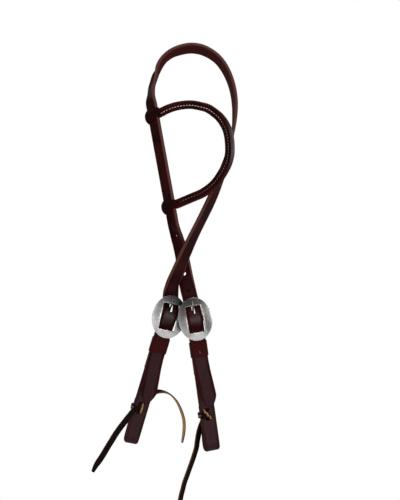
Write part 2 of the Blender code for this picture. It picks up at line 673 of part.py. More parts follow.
def chape_stitches(cheek, material):
    """The cross row of thread behind the fold, between the bar and the keeper."""
    down = (BAR_RADIUS + GAP + TONGUE_WALL + SHORT_STEP + KEEPER_START) / 2
    rise = -layer_rise(down) - CHAPE_THICKNESS / 2 - GAP - THREAD_RADIUS * 1.3
    reach = STRAP_WIDTH * 0.36
    rings = []
    for share, scale in ((-1, 0.6), (-0.93, 1), (0.93, 1), (1, 0.6)):
        section = round_section(THREAD_RADIUS * scale, 6)
        rings.append([cheek.at(cheek.line(down) + reach * share, down + u, rise + n) for u, n in section])
    return place_object(f"{cheek.side}_chape_stitches", *loft(rings), material)


def tie_lace(cheek, material):
    """The lace's held part: over the front between two slots, and a knot behind."""
    front = HALF_STACK + CHAPE_THICKNESS / 2 + GAP + LACE_THICKNESS / 2
    corner = LACE_THICKNESS
    middle, half = (TIE_TOP + TIE_BOTTOM) / 2, (TIE_BOTTOM - TIE_TOP) / 2
    rows = []
    for start, down_sign, out_sign in ((0, 1, 1), (1, -1, 1), (2, -1, -1), (3, 1, -1)):
        for k in range(3):
            turn = math.pi / 2 * (start + k / 2)
            rows.append((middle + down_sign * (half - corner) + corner * math.cos(turn),
                         out_sign * (front - corner) + corner * math.sin(turn)))
    centres = [cheek.at(0, down, out) for down, out in rows]
    loops = []
    for (down, out), tangent in zip(rows, tangents(centres, closed=True)):
        facing = cheek.right.cross(tangent)
        section = box_section(HELD_LACE_WIDTH, LACE_THICKNESS, LACE_THICKNESS / 4)
        loops.append(ring_at(cheek.at(cheek.line(down), down, out), cheek.right, facing, section))
    lace = place_object(f"{cheek.side}_tie_lace", *loft(loops, closed=True), material)
    combine(lace, knot(cheek, middle, front, material), "UNION")
    return lace


def knot(cheek, middle, front, material):
    """A rounded lump of crossed lace behind the strap."""
    centre_out = -front - KNOT_DEPTH / 2 + LACE_THICKNESS / 2 - GAP
    rings = []
    for k in range(1, 8):
        lift = math.pi * k / 8
        height, spread = math.cos(lift), math.sin(lift)
        section = round_section(spread, 12)
        rings.append([
            cheek.at(cheek.line(middle) + KNOT_WIDTH / 2 * u, middle - KNOT_HEIGHT / 2 * height,
                     centre_out + KNOT_DEPTH / 2 * n)
            for u, n in section
        ])
    return place_object(f"{cheek.side}_knot_lump", *loft(rings), material)


def lace_tail(name, route, face_turns, material):
    """A free flat lace along its route, turned about itself, with a slimmer blunt tip."""
    rows = [(*point, turn) for point, turn in zip(route, spread_turns(face_turns, len(route)))]
    path = smooth_path(rows, SHORT_STEP)
    places = [Vector(row[:3]) for row in path]
    rings = []
    count = len(places)
    for index, (row, place, tangent) in enumerate(zip(path, places, tangents(places))):
        left = (count - 1 - index) / 4
        width = LACE_WIDTH * (TAIL_TIP_SHARE + (1 - TAIL_TIP_SHARE) * min(left, 1))
        across, facing = strap_directions(tangent, math.radians(row[3]))
        section = box_section(width, LACE_THICKNESS, LACE_THICKNESS / 4)
        rings.append(ring_at(place, across, facing, section))
    return place_object(name, *loft(rings), material)


def spread_turns(turns, count):
    """As many turns as there are points, read evenly from a short list."""
    found = []
    for k in range(count):
        place = k / (count - 1) * (len(turns) - 1)
        low = min(int(place), len(turns) - 2)
        found.append(turns[low] + (turns[low + 1] - turns[low]) * (place - low))
    return found


def run_frame(drop_share):
    """Place and directions on the left side's straight run, at a share of the leg's drop."""
    top = leg_point(*RUN_TOP_SHARES, RUN_DEPTH_SHARE)
    bottom = leg_point(*RUN_BOTTOM_SHARES, RUN_DEPTH_SHARE)
    share = (drop_share - RUN_TOP_SHARES[1]) / (RUN_BOTTOM_SHARES[1] - RUN_TOP_SHARES[1])
    tangent = (top - bottom).normalized()
    across, facing = strap_directions(tangent, RUN_TURN)
    return top.lerp(bottom, share), tangent, across, facing


def ear_path():
    """The ear's middle line, from inside the upper loop's wall to inside the lower one's."""
    ends = []
    for share in (UPPER_LOOP_SHARE, LOWER_LOOP_SHARE):
        place, _, across, facing = run_frame(share)
        ends.append(place + across * (STRAP_WIDTH / 2 + LOOP_WALL * 0.6)
                    - facing * (STRAP_THICKNESS / 2 + LOOP_WALL * 0.45))
    middle = [
        Vector((LOOP_WIDTH * across, -EAR_DEPTH * depth, -LEG_DROP * drop))
        for across, drop, depth in EAR_SHARES
    ]
    return [Vector(row) for row in smooth_path([tuple(p) for p in [ends[0], *middle, ends[1]]], EAR_STEP / 2)]


def part_of_path(places, start, end, step):
    """Evenly spaced places, each with its direction, between two distances along a path."""
    travelled = [0.0]
    for before, after in zip(places, places[1:]):
        travelled.append(travelled[-1] + (after - before).length)
    if end <= 0:
        end += travelled[-1]
    ways = tangents(places)
    count = max(2, round((end - start) / step))
    found = []
    for k in range(count + 1):
        target = start + (end - start) * k / count
        index = next((i for i in range(1, len(travelled)) if travelled[i] >= target), len(travelled) - 1)
        share = (target - travelled[index - 1]) / (travelled[index] - travelled[index - 1])
        found.append((places[index - 1].lerp(places[index], share),
                      ways[index - 1].lerp(ways[index], share).normalized()))
    return found


def ear_section(groove=True):
    """Outward first, then front: a round roll outside, a flat flange inside."""
    roll = EAR_WIDTH / 2 - ROLL_RADIUS
    half = FLANGE_THICKNESS / 2
    inner = -EAR_WIDTH / 2
    join = math.asin(half / ROLL_RADIUS)
    section = []
    for k in range(9):
        turn = (math.pi - join) * (2 * k / 8 - 1)
        section.append((roll + ROLL_RADIUS * math.cos(turn), ROLL_RADIUS * math.sin(turn)))
    if groove:
        left, right = STITCH_PLACE - GROOVE_WIDTH / 2, STITCH_PLACE + GROOVE_WIDTH / 2
        section += [(right, half), (right, half - GROOVE_DEPTH), (left, half - GROOVE_DEPTH), (left, half)]
    section += [(inner + STRAP_EDGE, half), (inner, half - STRAP_EDGE), (inner, STRAP_EDGE - half),
                (inner + STRAP_EDGE, -half)]
    return section


def ear_rings(stations, section, shift=0.0):
    front = Vector((0, -1, 0))
    rings = []
    for place, tangent in stations:
        outward = front.cross(tangent).normalized()
        facing = tangent.cross(outward)
        rings.append(ring_at(place + outward * shift, outward, facing, section))
    return rings


def ear_pieces(leather, cord, thread):
    path = ear_path()
    start = EAR_NECK + 2 * GAP
    roll = EAR_WIDTH / 2 - ROLL_RADIUS
    places = part_of_path(path, start, -start, EAR_STEP)
    outer = ear_rings(places, ear_section())
    bore = ear_rings(places, round_section(CORE_RADIUS + GAP, 8), roll)
    points, faces, shift = tube_loft(outer, bore)
    pipe_object("ear_cover", points, faces, shift, len(outer[0]), 8, len(outer), leather)
    core_places = part_of_path(path, start + GAP, -start - GAP, EAR_STEP)
    place_object("ear_core", *loft(ear_rings(core_places, round_section(CORE_RADIUS, 8), roll)), cord)
    thread_places = part_of_path(path, start + THREAD_STEP, -start - THREAD_STEP, THREAD_STEP)
    lift = FLANGE_THICKNESS / 2 - GROOVE_DEPTH + GAP + THREAD_RADIUS
    raised = [(u + STITCH_PLACE, v + lift) for u, v in round_section(THREAD_RADIUS, 6)]
    place_object("ear_stitches", *loft(ear_rings(thread_places, raised)), thread)
    length = path_length(path)
    ear_loop("ear_upper_loop", UPPER_LOOP_SHARE, part_of_path(path, 0, EAR_NECK, EAR_NECK / 3), leather)
    ear_loop("ear_lower_loop", LOWER_LOOP_SHARE,
             part_of_path(path, length - EAR_NECK, length, EAR_NECK / 3), leather)


def path_length(places):
    return sum((after - before).length for before, after in zip(places, places[1:]))


def pipe_object(name, points, faces, shift, sides, bore_sides, count, material):
    """Close both ends of a pipe with a ring of faces between its outer and inner edges."""
    shape = bmesh.new()
    corners = [shape.verts.new(point) for point in points]
    for face in faces:
        shape.faces.new([corners[k] for k in face])
    for outer_start, inner_start in (
        (0, shift), ((count - 1) * sides, shift + (count - 1) * bore_sides),
    ):
        outer = [corners[outer_start + k] for k in range(sides)]
        inner = [corners[inner_start + k] for k in range(bore_sides)]
        edges = []
        for loop in (outer, inner):
            edges += [shape.edges.get((loop[k - 1], loop[k])) for k in range(len(loop))]
        bmesh.ops.bridge_loops(shape, edges=edges)
    bmesh.ops.triangulate(shape, faces=shape.faces)
    bmesh.ops.recalc_face_normals(shape, faces=shape.faces)
    mesh = bpy.data.meshes.new(name)
    shape.to_mesh(mesh)
    shape.free()
    mesh.materials.append(material)
    mesh.shade_smooth()
    mesh.set_sharp_from_angle(angle=math.radians(40))
    item = bpy.data.objects.new(name, mesh)
    bpy.context.scene.collection.objects.link(item)
    return item


def ear_loop(name, drop_share, neck_places, material):
    """A band round the strap with a neck that the ear's end meets."""
    place, tangent, across, facing = run_frame(drop_share)
    half_across, half_out = STRAP_WIDTH / 2 + LOOP_CLEARANCE, STRAP_THICKNESS / 2 + LOOP_CLEARANCE
    wide, thick = half_across + LOOP_WALL, half_out + LOOP_WALL
    outer = band_section(wide, -thick, thick, LOOP_EDGE * 2)
    lip = band_section(wide - LOOP_EDGE, LOOP_EDGE - thick, thick - LOOP_EDGE, LOOP_EDGE * 2)
    full = 1 - 2 * LOOP_EDGE / LOOP_BAND
    rings = []
    for reach, section in ((-1, lip), (-full, outer), (full, outer), (1, lip)):
        rings.append(ring_at(place + tangent * (reach * LOOP_BAND / 2), across, facing, section))
    band = place_object(name, *loft(rings), material, place)
    neck = place_object(f"{name}_neck", *loft(ear_rings(neck_places, ear_section(groove=False))), material)
    inner = band_section(half_across, -half_out, half_out, STRAP_EDGE / 2)
    ends = [ring_at(place + tangent * reach, across, facing, inner) for reach in (-LOOP_BAND, LOOP_BAND)]
    bore = place_object(f"{name}_bore", *loft(ends), material)
    combine(band, neck, "UNION")
    combine(band, bore, "DIFFERENCE")
    return band


def build():
    clear_scene()
    leather = finish("dark_oiled_leather", (0.045, 0.012, 0.012), 0.42)
    cheek_leather = finish("cheek_leather", (0.055, 0.018, 0.018), 0.45)
    ear_leather = finish("ear_leather", (0.06, 0.018, 0.016), 0.4)
    core_cord = finish("ear_core_cord", (0.45, 0.33, 0.2), 0.8)
    lace_leather = finish("lace_leather", (0.02, 0.012, 0.012), 0.55)
    steel = finish("brushed_steel", (0.6, 0.6, 0.58), 0.32, 1.0)
    thread = finish("white_thread", (0.85, 0.83, 0.78), 0.7)
    crown_strap(leather)
    ear_pieces(ear_leather, core_cord, thread)
    for cheek in (LEFT, RIGHT):
        buckle_frame(cheek, steel)
        bar_cylinder(cheek, f"{cheek.side}_buckle_bar", BAR_RADIUS, 0, steel, cheek.bar)
        buckle_tongue(cheek, steel)
        bit_end_strap(cheek, cheek_leather)
        chape_stitches(cheek, thread)
        keeper(cheek, leather)
        tie_lace(cheek, lace_leather)
    keeper_stitch(RIGHT, thread)
    lace_tail("left_front_tail", LEFT_FRONT_TAIL, (82, 82, 80, 80), lace_leather)
    lace_tail("left_back_tail", LEFT_BACK_TAIL, (88, 38, -22, -30, -24), lace_leather)
    lace_tail("right_front_tail", RIGHT_FRONT_TAIL, (84, 50, 45, 45, 50), lace_leather)


build()
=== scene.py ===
# %% [markdown]
# # A western headstall with one slip ear
# The real thing is one long oiled leather strap that crosses itself, two short straps that hold
# the bit, two domed steel buckles, a rolled ear piece that slides on the strap, and laces.
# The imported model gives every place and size. This lesson dresses it: each piece is modelled flat
# or at its own middle, as a saddler would cut it, and is then laid where the model has it.

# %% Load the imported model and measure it
import json
import math

import bpy
from mathutils import Matrix, Vector

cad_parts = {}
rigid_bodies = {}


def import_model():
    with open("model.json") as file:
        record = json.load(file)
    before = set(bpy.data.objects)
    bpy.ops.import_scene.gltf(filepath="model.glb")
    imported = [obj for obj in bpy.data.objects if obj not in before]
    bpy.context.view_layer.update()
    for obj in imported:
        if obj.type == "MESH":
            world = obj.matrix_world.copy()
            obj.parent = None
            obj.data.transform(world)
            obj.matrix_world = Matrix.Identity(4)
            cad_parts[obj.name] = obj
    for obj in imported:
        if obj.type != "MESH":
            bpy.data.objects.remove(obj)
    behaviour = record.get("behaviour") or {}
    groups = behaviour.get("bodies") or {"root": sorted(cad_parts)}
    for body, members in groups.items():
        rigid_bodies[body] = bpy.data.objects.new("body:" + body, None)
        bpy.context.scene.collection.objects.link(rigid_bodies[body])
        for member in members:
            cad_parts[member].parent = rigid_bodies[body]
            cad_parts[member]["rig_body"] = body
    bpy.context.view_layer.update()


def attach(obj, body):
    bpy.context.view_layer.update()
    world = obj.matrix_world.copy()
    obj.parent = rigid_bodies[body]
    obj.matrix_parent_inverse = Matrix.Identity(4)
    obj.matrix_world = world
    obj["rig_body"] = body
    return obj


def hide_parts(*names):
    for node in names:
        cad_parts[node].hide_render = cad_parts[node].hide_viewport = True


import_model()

# %% [markdown]
# ## Camera
# The photograph looks straight at the front from a few metres away with a long lens. One pixel is
# 1.22 mm at the strap, and the picture is 400 by 500 pixels, so the lens follows from the distance.

# %% Place the camera
PIXEL, PICTURE_HEIGHT = 0.00122, 500
CAMERA_DISTANCE, SENSOR = 2.1, 36
VIEW_MIDDLE = Vector((7.5 * PIXEL, 0, -200 * PIXEL))
bpy.ops.object.camera_add(location=VIEW_MIDDLE + Vector((0, -CAMERA_DISTANCE, 0)),
                          rotation=(math.radians(90), 0, 0))
camera = bpy.context.object
camera.data.sensor_width = SENSOR
camera.data.lens = SENSOR * CAMERA_DISTANCE / (PICTURE_HEIGHT * PIXEL)
bpy.context.scene.camera = camera
print("lens", round(camera.data.lens, 1), "mm")

# %% [markdown]
# ## Sizes
# These are the sizes that the pieces share. The strap is 19 mm wide, and the rest follows from it.
# Places along the strap are shares of the loop's width and the leg's drop, with the turn of the
# grain side in degrees, so one short table says how the strap hangs.

# %% Write the sizes down
STRAP_WIDTH, STRAP_THICKNESS, STRAP_EDGE = 0.019, 0.0038, 0.0009
GAP = 0.0003
LOOP_WIDTH, LEG_DROP, CROSSING_DEPTH = 0.101, 0.326, 0.0095
CHAPE_THICKNESS, CHEEK_LENGTH, UPPER_TAIL_LENGTH, FOLD_TAPER = 0.0032, 0.162, 0.068, 0.015
BIT_LOOP_RADIUS, BIT_END_CORNER = 0.006, 0.0026
TIE_BOTTOM = CHEEK_LENGTH - 0.0395
TIE_TOP = TIE_BOTTOM - 0.012
BACK_LAYER_END = TIE_TOP - 0.0045
BILLET_LENGTH, BILLET_POINT = TIE_TOP - 0.0015, 0.0125
PLATE_WIDTH, PLATE_HEIGHT, PLATE_THICKNESS = 0.042, 0.0532, 0.0024
PLATE_RISE, DOME_SAG = 0.0152, 0.0036
WINDOW_WIDTH, WINDOW_HEIGHT = 0.020, 0.0325
BAR_RADIUS = 0.0022
LUG_WIDTH, LUG_DEPTH, LUG_CLEARANCE, LUG_BACK = 0.0026, 0.0072, 0.0009, 0.0008
TONGUE_RADIUS, TONGUE_WALL, TONGUE_WIDTH, TONGUE_LENGTH = 0.0011, 0.0016, 0.0032, 0.0218
TONGUE_HOLE_PLACE, TONGUE_HOLE_LENGTH = 0.011, 0.0096
LEFT_TONGUE_HOLE_RADIUS, RIGHT_TONGUE_HOLE_RADIUS, LEFT_TONGUE_HOLE_EXTRA = 0.0021, 0.0017, 0.0006
TONGUE_SLOT = (0.0046, 0.0125, 0.03)
HOLE_RADIUS, HOLE_PITCH, HOLE_COUNT = 0.0025, 0.0245, 5
CUTTER_LENGTH, BLIND_CUTTER_LIFT = 0.02, 0.0098
TWIST_PLACE, CUP_DEPTH, CUP_REACH = Vector((-0.0425, 0, -0.0255)), 0.0036, 0.034
WORN_WIDTH_SHARE, WORN_SHIFT = 0.11, 0.0011
PLATE_EDGE, LUG_EDGE, BAR_EDGE = 0.0008, 0.0012, 0.0004
WINDOW_SQUARENESS = 26
NOTCH_PLACE, NOTCH_LENGTH, NOTCH_LIFT, NOTCH_EDGE = 0.0188, 0.0085, 0.0004, 0.0009
STRAP_STEP, SHORT_STRAP_STEP, FOLD_STEP = 0.0026, 0.0014, 0.0012
KEEPER_START, KEEPER_HEIGHT = PLATE_HEIGHT / 2 + 0.0009, 0.0185
KEEPER_WALL, KEEPER_CLEARANCE = 0.0010, 0.00015
KEEPER_CORNER, KEEPER_EDGE, KEEPER_SWELL = 0.0022, 0.0005, 0.00035
LACE_WIDTH, LACE_THICKNESS, HELD_LACE_WIDTH, LACE_TAPER = 0.0074, 0.002, 0.0064, 0.014
TIE_SLOT_DEPTH, TIE_LIFT = 0.0146, 0.0012
KNOT_RADIUS, KNOT_DROP, KNOT_SPREAD, KNOT_BACK = 0.0046, 0.0036, 0.0008, 0.0024
EAR_WIDTH, ROLL_RADIUS, FLANGE_THICKNESS = 0.0120, 0.0034, 0.0032
EAR_DEPTH, EAR_NECK = 0.0098, 0.006
LOOP_BAND, LOOP_WALL, LOOP_CLEARANCE, LOOP_CORNER = 0.0105, 0.0022, 0.0005, 0.0007
GROOVE_HALF, UPPER_DROOP, LOWER_DROOP = 0.0009, 0.0040, 0.0022
THREAD_RADIUS, STITCH_PITCH, STITCH_PLACE = 0.00045, 0.0036, -0.0021
KEEPER_STITCH, FOLD_STITCH, FOLD_STITCH_PITCH, FOLD_STITCH_COUNT = 0.0034, 0.0029, 0.0040, 4
STRAIGHT_RUN_TURN, EAR_ROLL_BACK = math.radians(36), math.radians(36)
QUARTER, HALF_TURN = math.pi / 2, math.pi
FRONT = Vector((0, -1, 0))

LEFT_LEG_SHARES = [
    (-0.092, 0.838, -0.60, 66), (-0.115, 0.793, -1.00, 54), (-0.147, 0.745, -1.00, 49),
    (-0.192, 0.696, -0.79, 43), (-0.236, 0.646, -0.26, 36), (-0.248, 0.625, -0.26, 36),
    (-0.307, 0.524, -0.26, 36), (-0.373, 0.412, -0.26, 36), (-0.435, 0.307, -0.26, 36),
    (-0.490, 0.213, -0.26, 36), (-0.499, 0.198, -0.26, 36),
]
CROWN_SHARES = [
    (-0.499, 0.168, -0.21, 21), (-0.489, 0.142, -0.16, 18), (-0.467, 0.120, -0.11, 15),
    (-0.438, 0.092, -0.05, 10), (-0.397, 0.064, 0.00, -8), (-0.332, 0.034, 0.00, -16),
    (-0.254, 0.013, 0.00, -20), (-0.139, -0.001, 0.00, -25), (-0.018, -0.007, 0.00, -27),
    (0.103, -0.002, 0.00, -27), (0.211, 0.013, 0.00, -25), (0.312, 0.037, -0.05, -22),
    (0.393, 0.071, -0.16, -20), (0.455, 0.112, -0.26, -17), (0.495, 0.157, -0.37, -14),
]
RIGHT_LEG_SHARES = [
    (0.513, 0.206, -0.47, -11), (0.510, 0.251, -0.58, -7), (0.494, 0.299, -0.68, -1),
    (0.460, 0.356, -0.68, 6), (0.409, 0.412, -0.68, 13), (0.347, 0.468, -0.68, 20),
    (0.279, 0.524, -0.63, 25), (0.204, 0.576, -0.42, 28), (0.109, 0.636, 0.00, 28),
    (0.013, 0.696, 0.53, 30), (-0.066, 0.749, 0.89, 34), (-0.130, 0.793, 1.00, 38),
    (-0.187, 0.835, 0.84, 44), (-0.244, 0.876, 0.42, 49),
]
LEFT_BILLET_SHARES = [(0.99, 0.265), (0.85, 0.20), (0.72, 0.12), (0.60, 0.04), (0.50, 0.0), (0.28, 0.0)]
RIGHT_BILLET_SHARES = [(0.99, 0.23), (0.85, 0.18), (0.72, 0.11), (0.60, 0.04), (0.50, 0.0), (0.28, 0.0)]
LEFT_UPPER_SHARES = [(0.0, 0.02, 1.0), (-0.45, 0.03, 0.80), (-0.98, -0.14, 0.36)]
RIGHT_UPPER_SHARES = [(0.0, 0.02, 1.0), (-0.45, 0.01, 0.80), (-0.98, -0.02, 0.36)]
BILLET_TAPER_SHARES = (1.2, 0.75, 0.35)
TONGUE_SHARES = [(0.15, 0.14), (0.36, 0.26), (0.52, 0.46), (0.645, 0.70), (0.755, 0.872), (0.87, 0.875),
                 (1.0, 0.818)]
EAR_SHARES = [
    (-0.290, 0.2223, 0.88), (-0.199, 0.2133, 0.92), (-0.105, 0.2084, 0.95), (-0.008, 0.2073, 0.97),
    (0.095, 0.2130, 0.98), (0.181, 0.2205, 1.0), (0.263, 0.2370, 1.0), (0.329, 0.2545, 1.0),
    (0.382, 0.2770, 1.0), (0.417, 0.2990, 1.0), (0.440, 0.3270, 1.0), (0.449, 0.3555, 1.0),
    (0.447, 0.3930, 1.0), (0.423, 0.4230, 1.0), (0.356, 0.4641, 1.0), (0.269, 0.5015, 0.97),
    (0.139, 0.5333, 0.94), (-0.023, 0.5558, 0.90),
]

# %% [markdown]
# ## A route to lay things along
# A strap is cut flat and bends afterwards, so here too a piece is modelled flat, with x along its
# length, y across it and z towards its grain side. A route is a smooth curve with the side and the
# grain direction noted at each step, and laying a piece along it moves every point of the mesh.
# A Curve modifier could bend it too, but it can't hold the grain side at a given turn.

# %% Smooth curves and routes
def bend(share, start, end, start_slope, end_slope):
    square, cube = share * share, share ** 3
    return ((2 * cube - 3 * square + 1) * start + (cube - 2 * square + share) * start_slope
            + (3 * square - 2 * cube) * end + (cube - square) * end_slope)


def row_slope(rows, spans, index):
    if index == 0 or index == len(rows) - 1:
        first = min(index, len(spans) - 1)
        return [(b - a) / spans[first] for a, b in zip(rows[first], rows[first + 1])]
    before, after = spans[index - 1], spans[index]
    return [((here - low) / before * after + (high - here) / after * before) / (before + after)
            for low, here, high in zip(rows[index - 1], rows[index], rows[index + 1])]


def smooth_rows(rows, step):
    """Rows of numbers, the place first, joined by a smooth curve."""
    spans = [(Vector(b[:3]) - Vector(a[:3])).length for a, b in zip(rows, rows[1:])]
    slopes = [row_slope(rows, spans, index) for index in range(len(rows))]
    found = [tuple(rows[0])]
    for index, span in enumerate(spans):
        count = max(1, round(span / step))
        for number in range(1, count + 1):
            found.append(tuple(
                bend(number / count, start, end, start_slope * span, end_slope * span)
                for start, end, start_slope, end_slope
                in zip(rows[index], rows[index + 1], slopes[index], slopes[index + 1])))
    return found


def directions(places):
    last = len(places) - 1
    return [(places[min(k + 1, last)] - places[max(k - 1, 0)]).normalized() for k in range(last + 1)]


class Route:
    """Places with a side and a grain direction, read by the distance along them."""

    def __init__(self, places, facings, widths=None):
        self.places = places
        self.ways = directions(places)
        self.facings = [(f - t * f.dot(t)).normalized() for f, t in zip(facings, self.ways)]
        self.widths = widths or [1.0] * len(places)
        self.distances = [0.0]
        for before, after in zip(places, places[1:]):
            self.distances.append(self.distances[-1] + (after - before).length)
        self.length = self.distances[-1]

    def at(self, distance):
        low, high = 0, len(self.distances) - 2
        while low < high:
            middle = (low + high + 1) // 2
            if self.distances[middle] <= distance:
                low = middle
            else:
                high = middle - 1
        share = (distance - self.distances[low]) / (self.distances[low + 1] - self.distances[low])
        held = min(max(share, 0), 1)
        place = self.places[low].lerp(self.places[low + 1], share)
        way = self.ways[low].lerp(self.ways[low + 1], held).normalized()
        facing = self.facings[low].lerp(self.facings[low + 1], held).normalized()
        width = self.widths[low] + (self.widths[low + 1] - self.widths[low]) * held
        return place, facing.cross(way), facing, width


def turned_facing(way, turn):
    """The grain direction of a strap whose grain side is turned from outwards to the front."""
    outward = Vector((-way.z, 0, way.x)).normalized()
    return outward * math.cos(turn) + FRONT * math.sin(turn)


def turned_route(rows, step):
    path = smooth_rows(rows, step)
    places = [Vector(row[:3]) for row in path]
    facings = [turned_facing(way, math.radians(row[3])) for way, row in zip(directions(places), path)]
    return Route(places, facings)


# %% [markdown]
# ## Each cheek has its own directions
# A buckle, its bar, the strap under it and the keeper all lean together, so each side gets one
# small frame: right along the bar, down the strap, and out towards the viewer.

# %% The two cheeks
class Cheek:
    def __init__(self, side, across_share, drop_share, depth, tilt, start, slope, billet, upper):
        self.side = side
        self.bar = Vector((PLATE_WIDTH * across_share, depth, -LEG_DROP * drop_share))
        tilt, yaw = math.radians(tilt), math.radians(8)
        level = Vector((math.cos(tilt), 0, -math.sin(tilt)))
        self.right = level * math.cos(yaw) - FRONT * math.sin(yaw)
        self.down = Vector((-math.sin(tilt), 0, -math.cos(tilt)))
        self.out = FRONT * math.cos(yaw) + level * math.sin(yaw)
        self.turn = 90 + (8 if side == "right" else -8)
        self.start, self.slope, self.billet, self.upper = start, slope, billet, upper

    def at(self, across, down, out):
        return self.bar + self.right * across + self.down * down + self.out * out

    def line(self, down):
        return self.start + self.slope * down


LEFT = Cheek("left", -0.7143, 0.997, 0.0055, 12, -0.0004, -0.082, LEFT_BILLET_SHARES, LEFT_UPPER_SHARES)
RIGHT = Cheek("right", 0.0433, 1.006, -0.0065, -10.3, 0.0004, -0.042, RIGHT_BILLET_SHARES,
              RIGHT_UPPER_SHARES)
HALF_STACK = (CHAPE_THICKNESS + GAP) / 2
FOLD_RADIUS = BAR_RADIUS + GAP + CHAPE_THICKNESS / 2
BILLET_RISE = CHAPE_THICKNESS / 2 + GAP + STRAP_THICKNESS / 2


def eased(share):
    """0 to 1 without a kink at either end."""
    held = min(max(share, 0), 1)
    return held * held * (3 - 2 * held)


def layer_rise(down):
    """Height of the short strap's front layer: round the bar, then flat on the back layer."""
    return FOLD_RADIUS + (HALF_STACK - FOLD_RADIUS) * eased(down / FOLD_TAPER)


# %% [markdown]
# ## Tools for modelling by hand
# Everything is deselected before a new primitive is added, because the model's nodes come in
# selected. Faces and edges are then picked by their place, which is how a person would box-select.

# %% Selecting, modifiers and laying out
def fresh():
    if bpy.context.object and bpy.context.object.mode != "OBJECT":
        bpy.ops.object.mode_set(mode="OBJECT")
    bpy.ops.object.select_all(action="DESELECT")


def pick(item, kind, wanted):
    """Edit mode with only the wanted faces, edges or points selected, by middle and direction."""
    bpy.context.view_layer.objects.active = item
    bpy.ops.object.mode_set(mode="EDIT")
    bpy.ops.mesh.select_mode(type=kind)
    bpy.ops.mesh.select_all(action="DESELECT")
    bpy.ops.object.mode_set(mode="OBJECT")
    mesh = item.data
    if kind == "FACE":
        for face in mesh.polygons:
            face.select = wanted(face.center, face.normal)
    elif kind == "EDGE":
        for edge in mesh.edges:
            a, b = (mesh.vertices[k].co for k in edge.vertices)
            edge.select = wanted((a + b) / 2, (b - a).normalized())
    else:
        for point in mesh.vertices:
            point.select = wanted(point.co, None)
    bpy.ops.object.mode_set(mode="EDIT")


def done():
    bpy.ops.object.mode_set(mode="OBJECT")


def apply_size(item):
    bpy.ops.object.transform_apply(location=True, rotation=True, scale=True)
    return item


def add_modifier(item, kind, **settings):
    """Add a modifier, set it and apply it."""
    bpy.context.view_layer.objects.active = item
    modifier = item.modifiers.new(kind.lower(), kind)
    for key, value in settings.items():
        setattr(modifier, key, value)
    bpy.ops.object.modifier_apply(modifier=modifier.name)


def along_x(middle, way):
    return abs(way.x) > 0.99


def anywhere(middle, way):
    return True


def split(item, wanted, cuts):
    pick(item, "EDGE", wanted)
    bpy.ops.mesh.subdivide(number_cuts=cuts)
    done()


def round_off(item, kind, wanted, offset, segments):
    pick(item, kind, wanted)
    bpy.ops.mesh.bevel(offset=offset, segments=segments, affect="EDGES")
    done()


def face_outwards(item):
    pick(item, "FACE", anywhere)
    bpy.ops.mesh.normals_make_consistent(inside=False)
    done()


def cube(size, location=(0, 0, 0)):
    fresh()
    bpy.ops.mesh.primitive_cube_add(size=1, location=location)
    bpy.context.object.scale = size
    return apply_size(bpy.context.object)


def cylinder(radius, depth, sides=32, location=(0, 0, 0), rotation=(0, QUARTER, 0)):
    """A cylinder, lying along x unless a rotation says otherwise."""
    fresh()
    bpy.ops.mesh.primitive_cylinder_add(vertices=sides, radius=radius, depth=depth, location=location,
                                        rotation=rotation)
    return apply_size(bpy.context.object)


def call(item, name):
    item.name = item.data.name = name
    return item


def join(first, *others):
    fresh()
    for item in (first, *others):
        item.select_set(True)
    bpy.context.view_layer.objects.active = first
    bpy.ops.object.join()
    return first


def repeat(item, count, pitch, **settings):
    add_modifier(item, "ARRAY", count=count, use_relative_offset=False, use_constant_offset=True,
                 constant_offset_displace=(pitch, 0, 0), **settings)


def smooth(item, angle=35):
    fresh()
    item.select_set(True)
    bpy.context.view_layer.objects.active = item
    bpy.ops.object.shade_smooth_by_angle(angle=math.radians(angle))


def flat_strip(name, length, width, step, across):
    """A flat strip from x = 0 to its length, grain side up, still without thickness."""
    fresh()
    bpy.ops.mesh.primitive_grid_add(x_subdivisions=round(length / step), y_subdivisions=across,
                                    size=1, location=(length / 2, 0, 0))
    strip = call(bpy.context.object, name)
    strip.scale = (length, width, 1)
    return apply_size(strip)


def give_thickness(strip, thickness, edge):
    add_modifier(strip, "SOLIDIFY", thickness=thickness, offset=0)
    add_modifier(strip, "BEVEL", width=edge, segments=3, limit_method="ANGLE",
                 angle_limit=math.radians(50))


def note_flat(strip, half_width, half_thickness):
    """Keep where each point was in the flat, so that a finish can follow the strip."""
    mesh = strip.data
    face = mesh.attributes.new("face", "FLOAT", "POINT")
    side = mesh.attributes.new("side", "FLOAT", "POINT")
    for point in mesh.vertices:
        face.data[point.index].value = point.co.z / half_thickness
        side.data[point.index].value = abs(point.co.y) / half_width
    layer = mesh.uv_layers.get("flat") or mesh.uv_layers.new(name="flat")
    for loop in mesh.loops:
        x, y, _ = mesh.vertices[loop.vertex_index].co
        layer.data[loop.index].uv = (x * 10, y * 10)
    mesh.uv_layers.active = layer


def lay_along(item, route):
    for point in item.data.vertices:
        x, y, z = point.co
        place, side, facing, width = route.at(x)
        point.co = place + side * (y * width) + facing * z
    item.data.update()
    return item


def blunt_ends(strip, length, width_at):
    """Pull the strip in towards its tips."""
    for point in strip.data.vertices:
        point.co.y *= width_at(min(point.co.x, length - point.co.x))


def carve(item, cutter):
    add_modifier(item, "BOOLEAN", operation="DIFFERENCE", solver="EXACT", object=cutter)
    bpy.data.objects.remove(cutter)


# %% [markdown]
# ## The long strap's route
# It starts at the right cheek's tip, climbs behind the crossing up the left side, goes over the
# crown, down the right side in front of the crossing, and ends at the left cheek's tip.

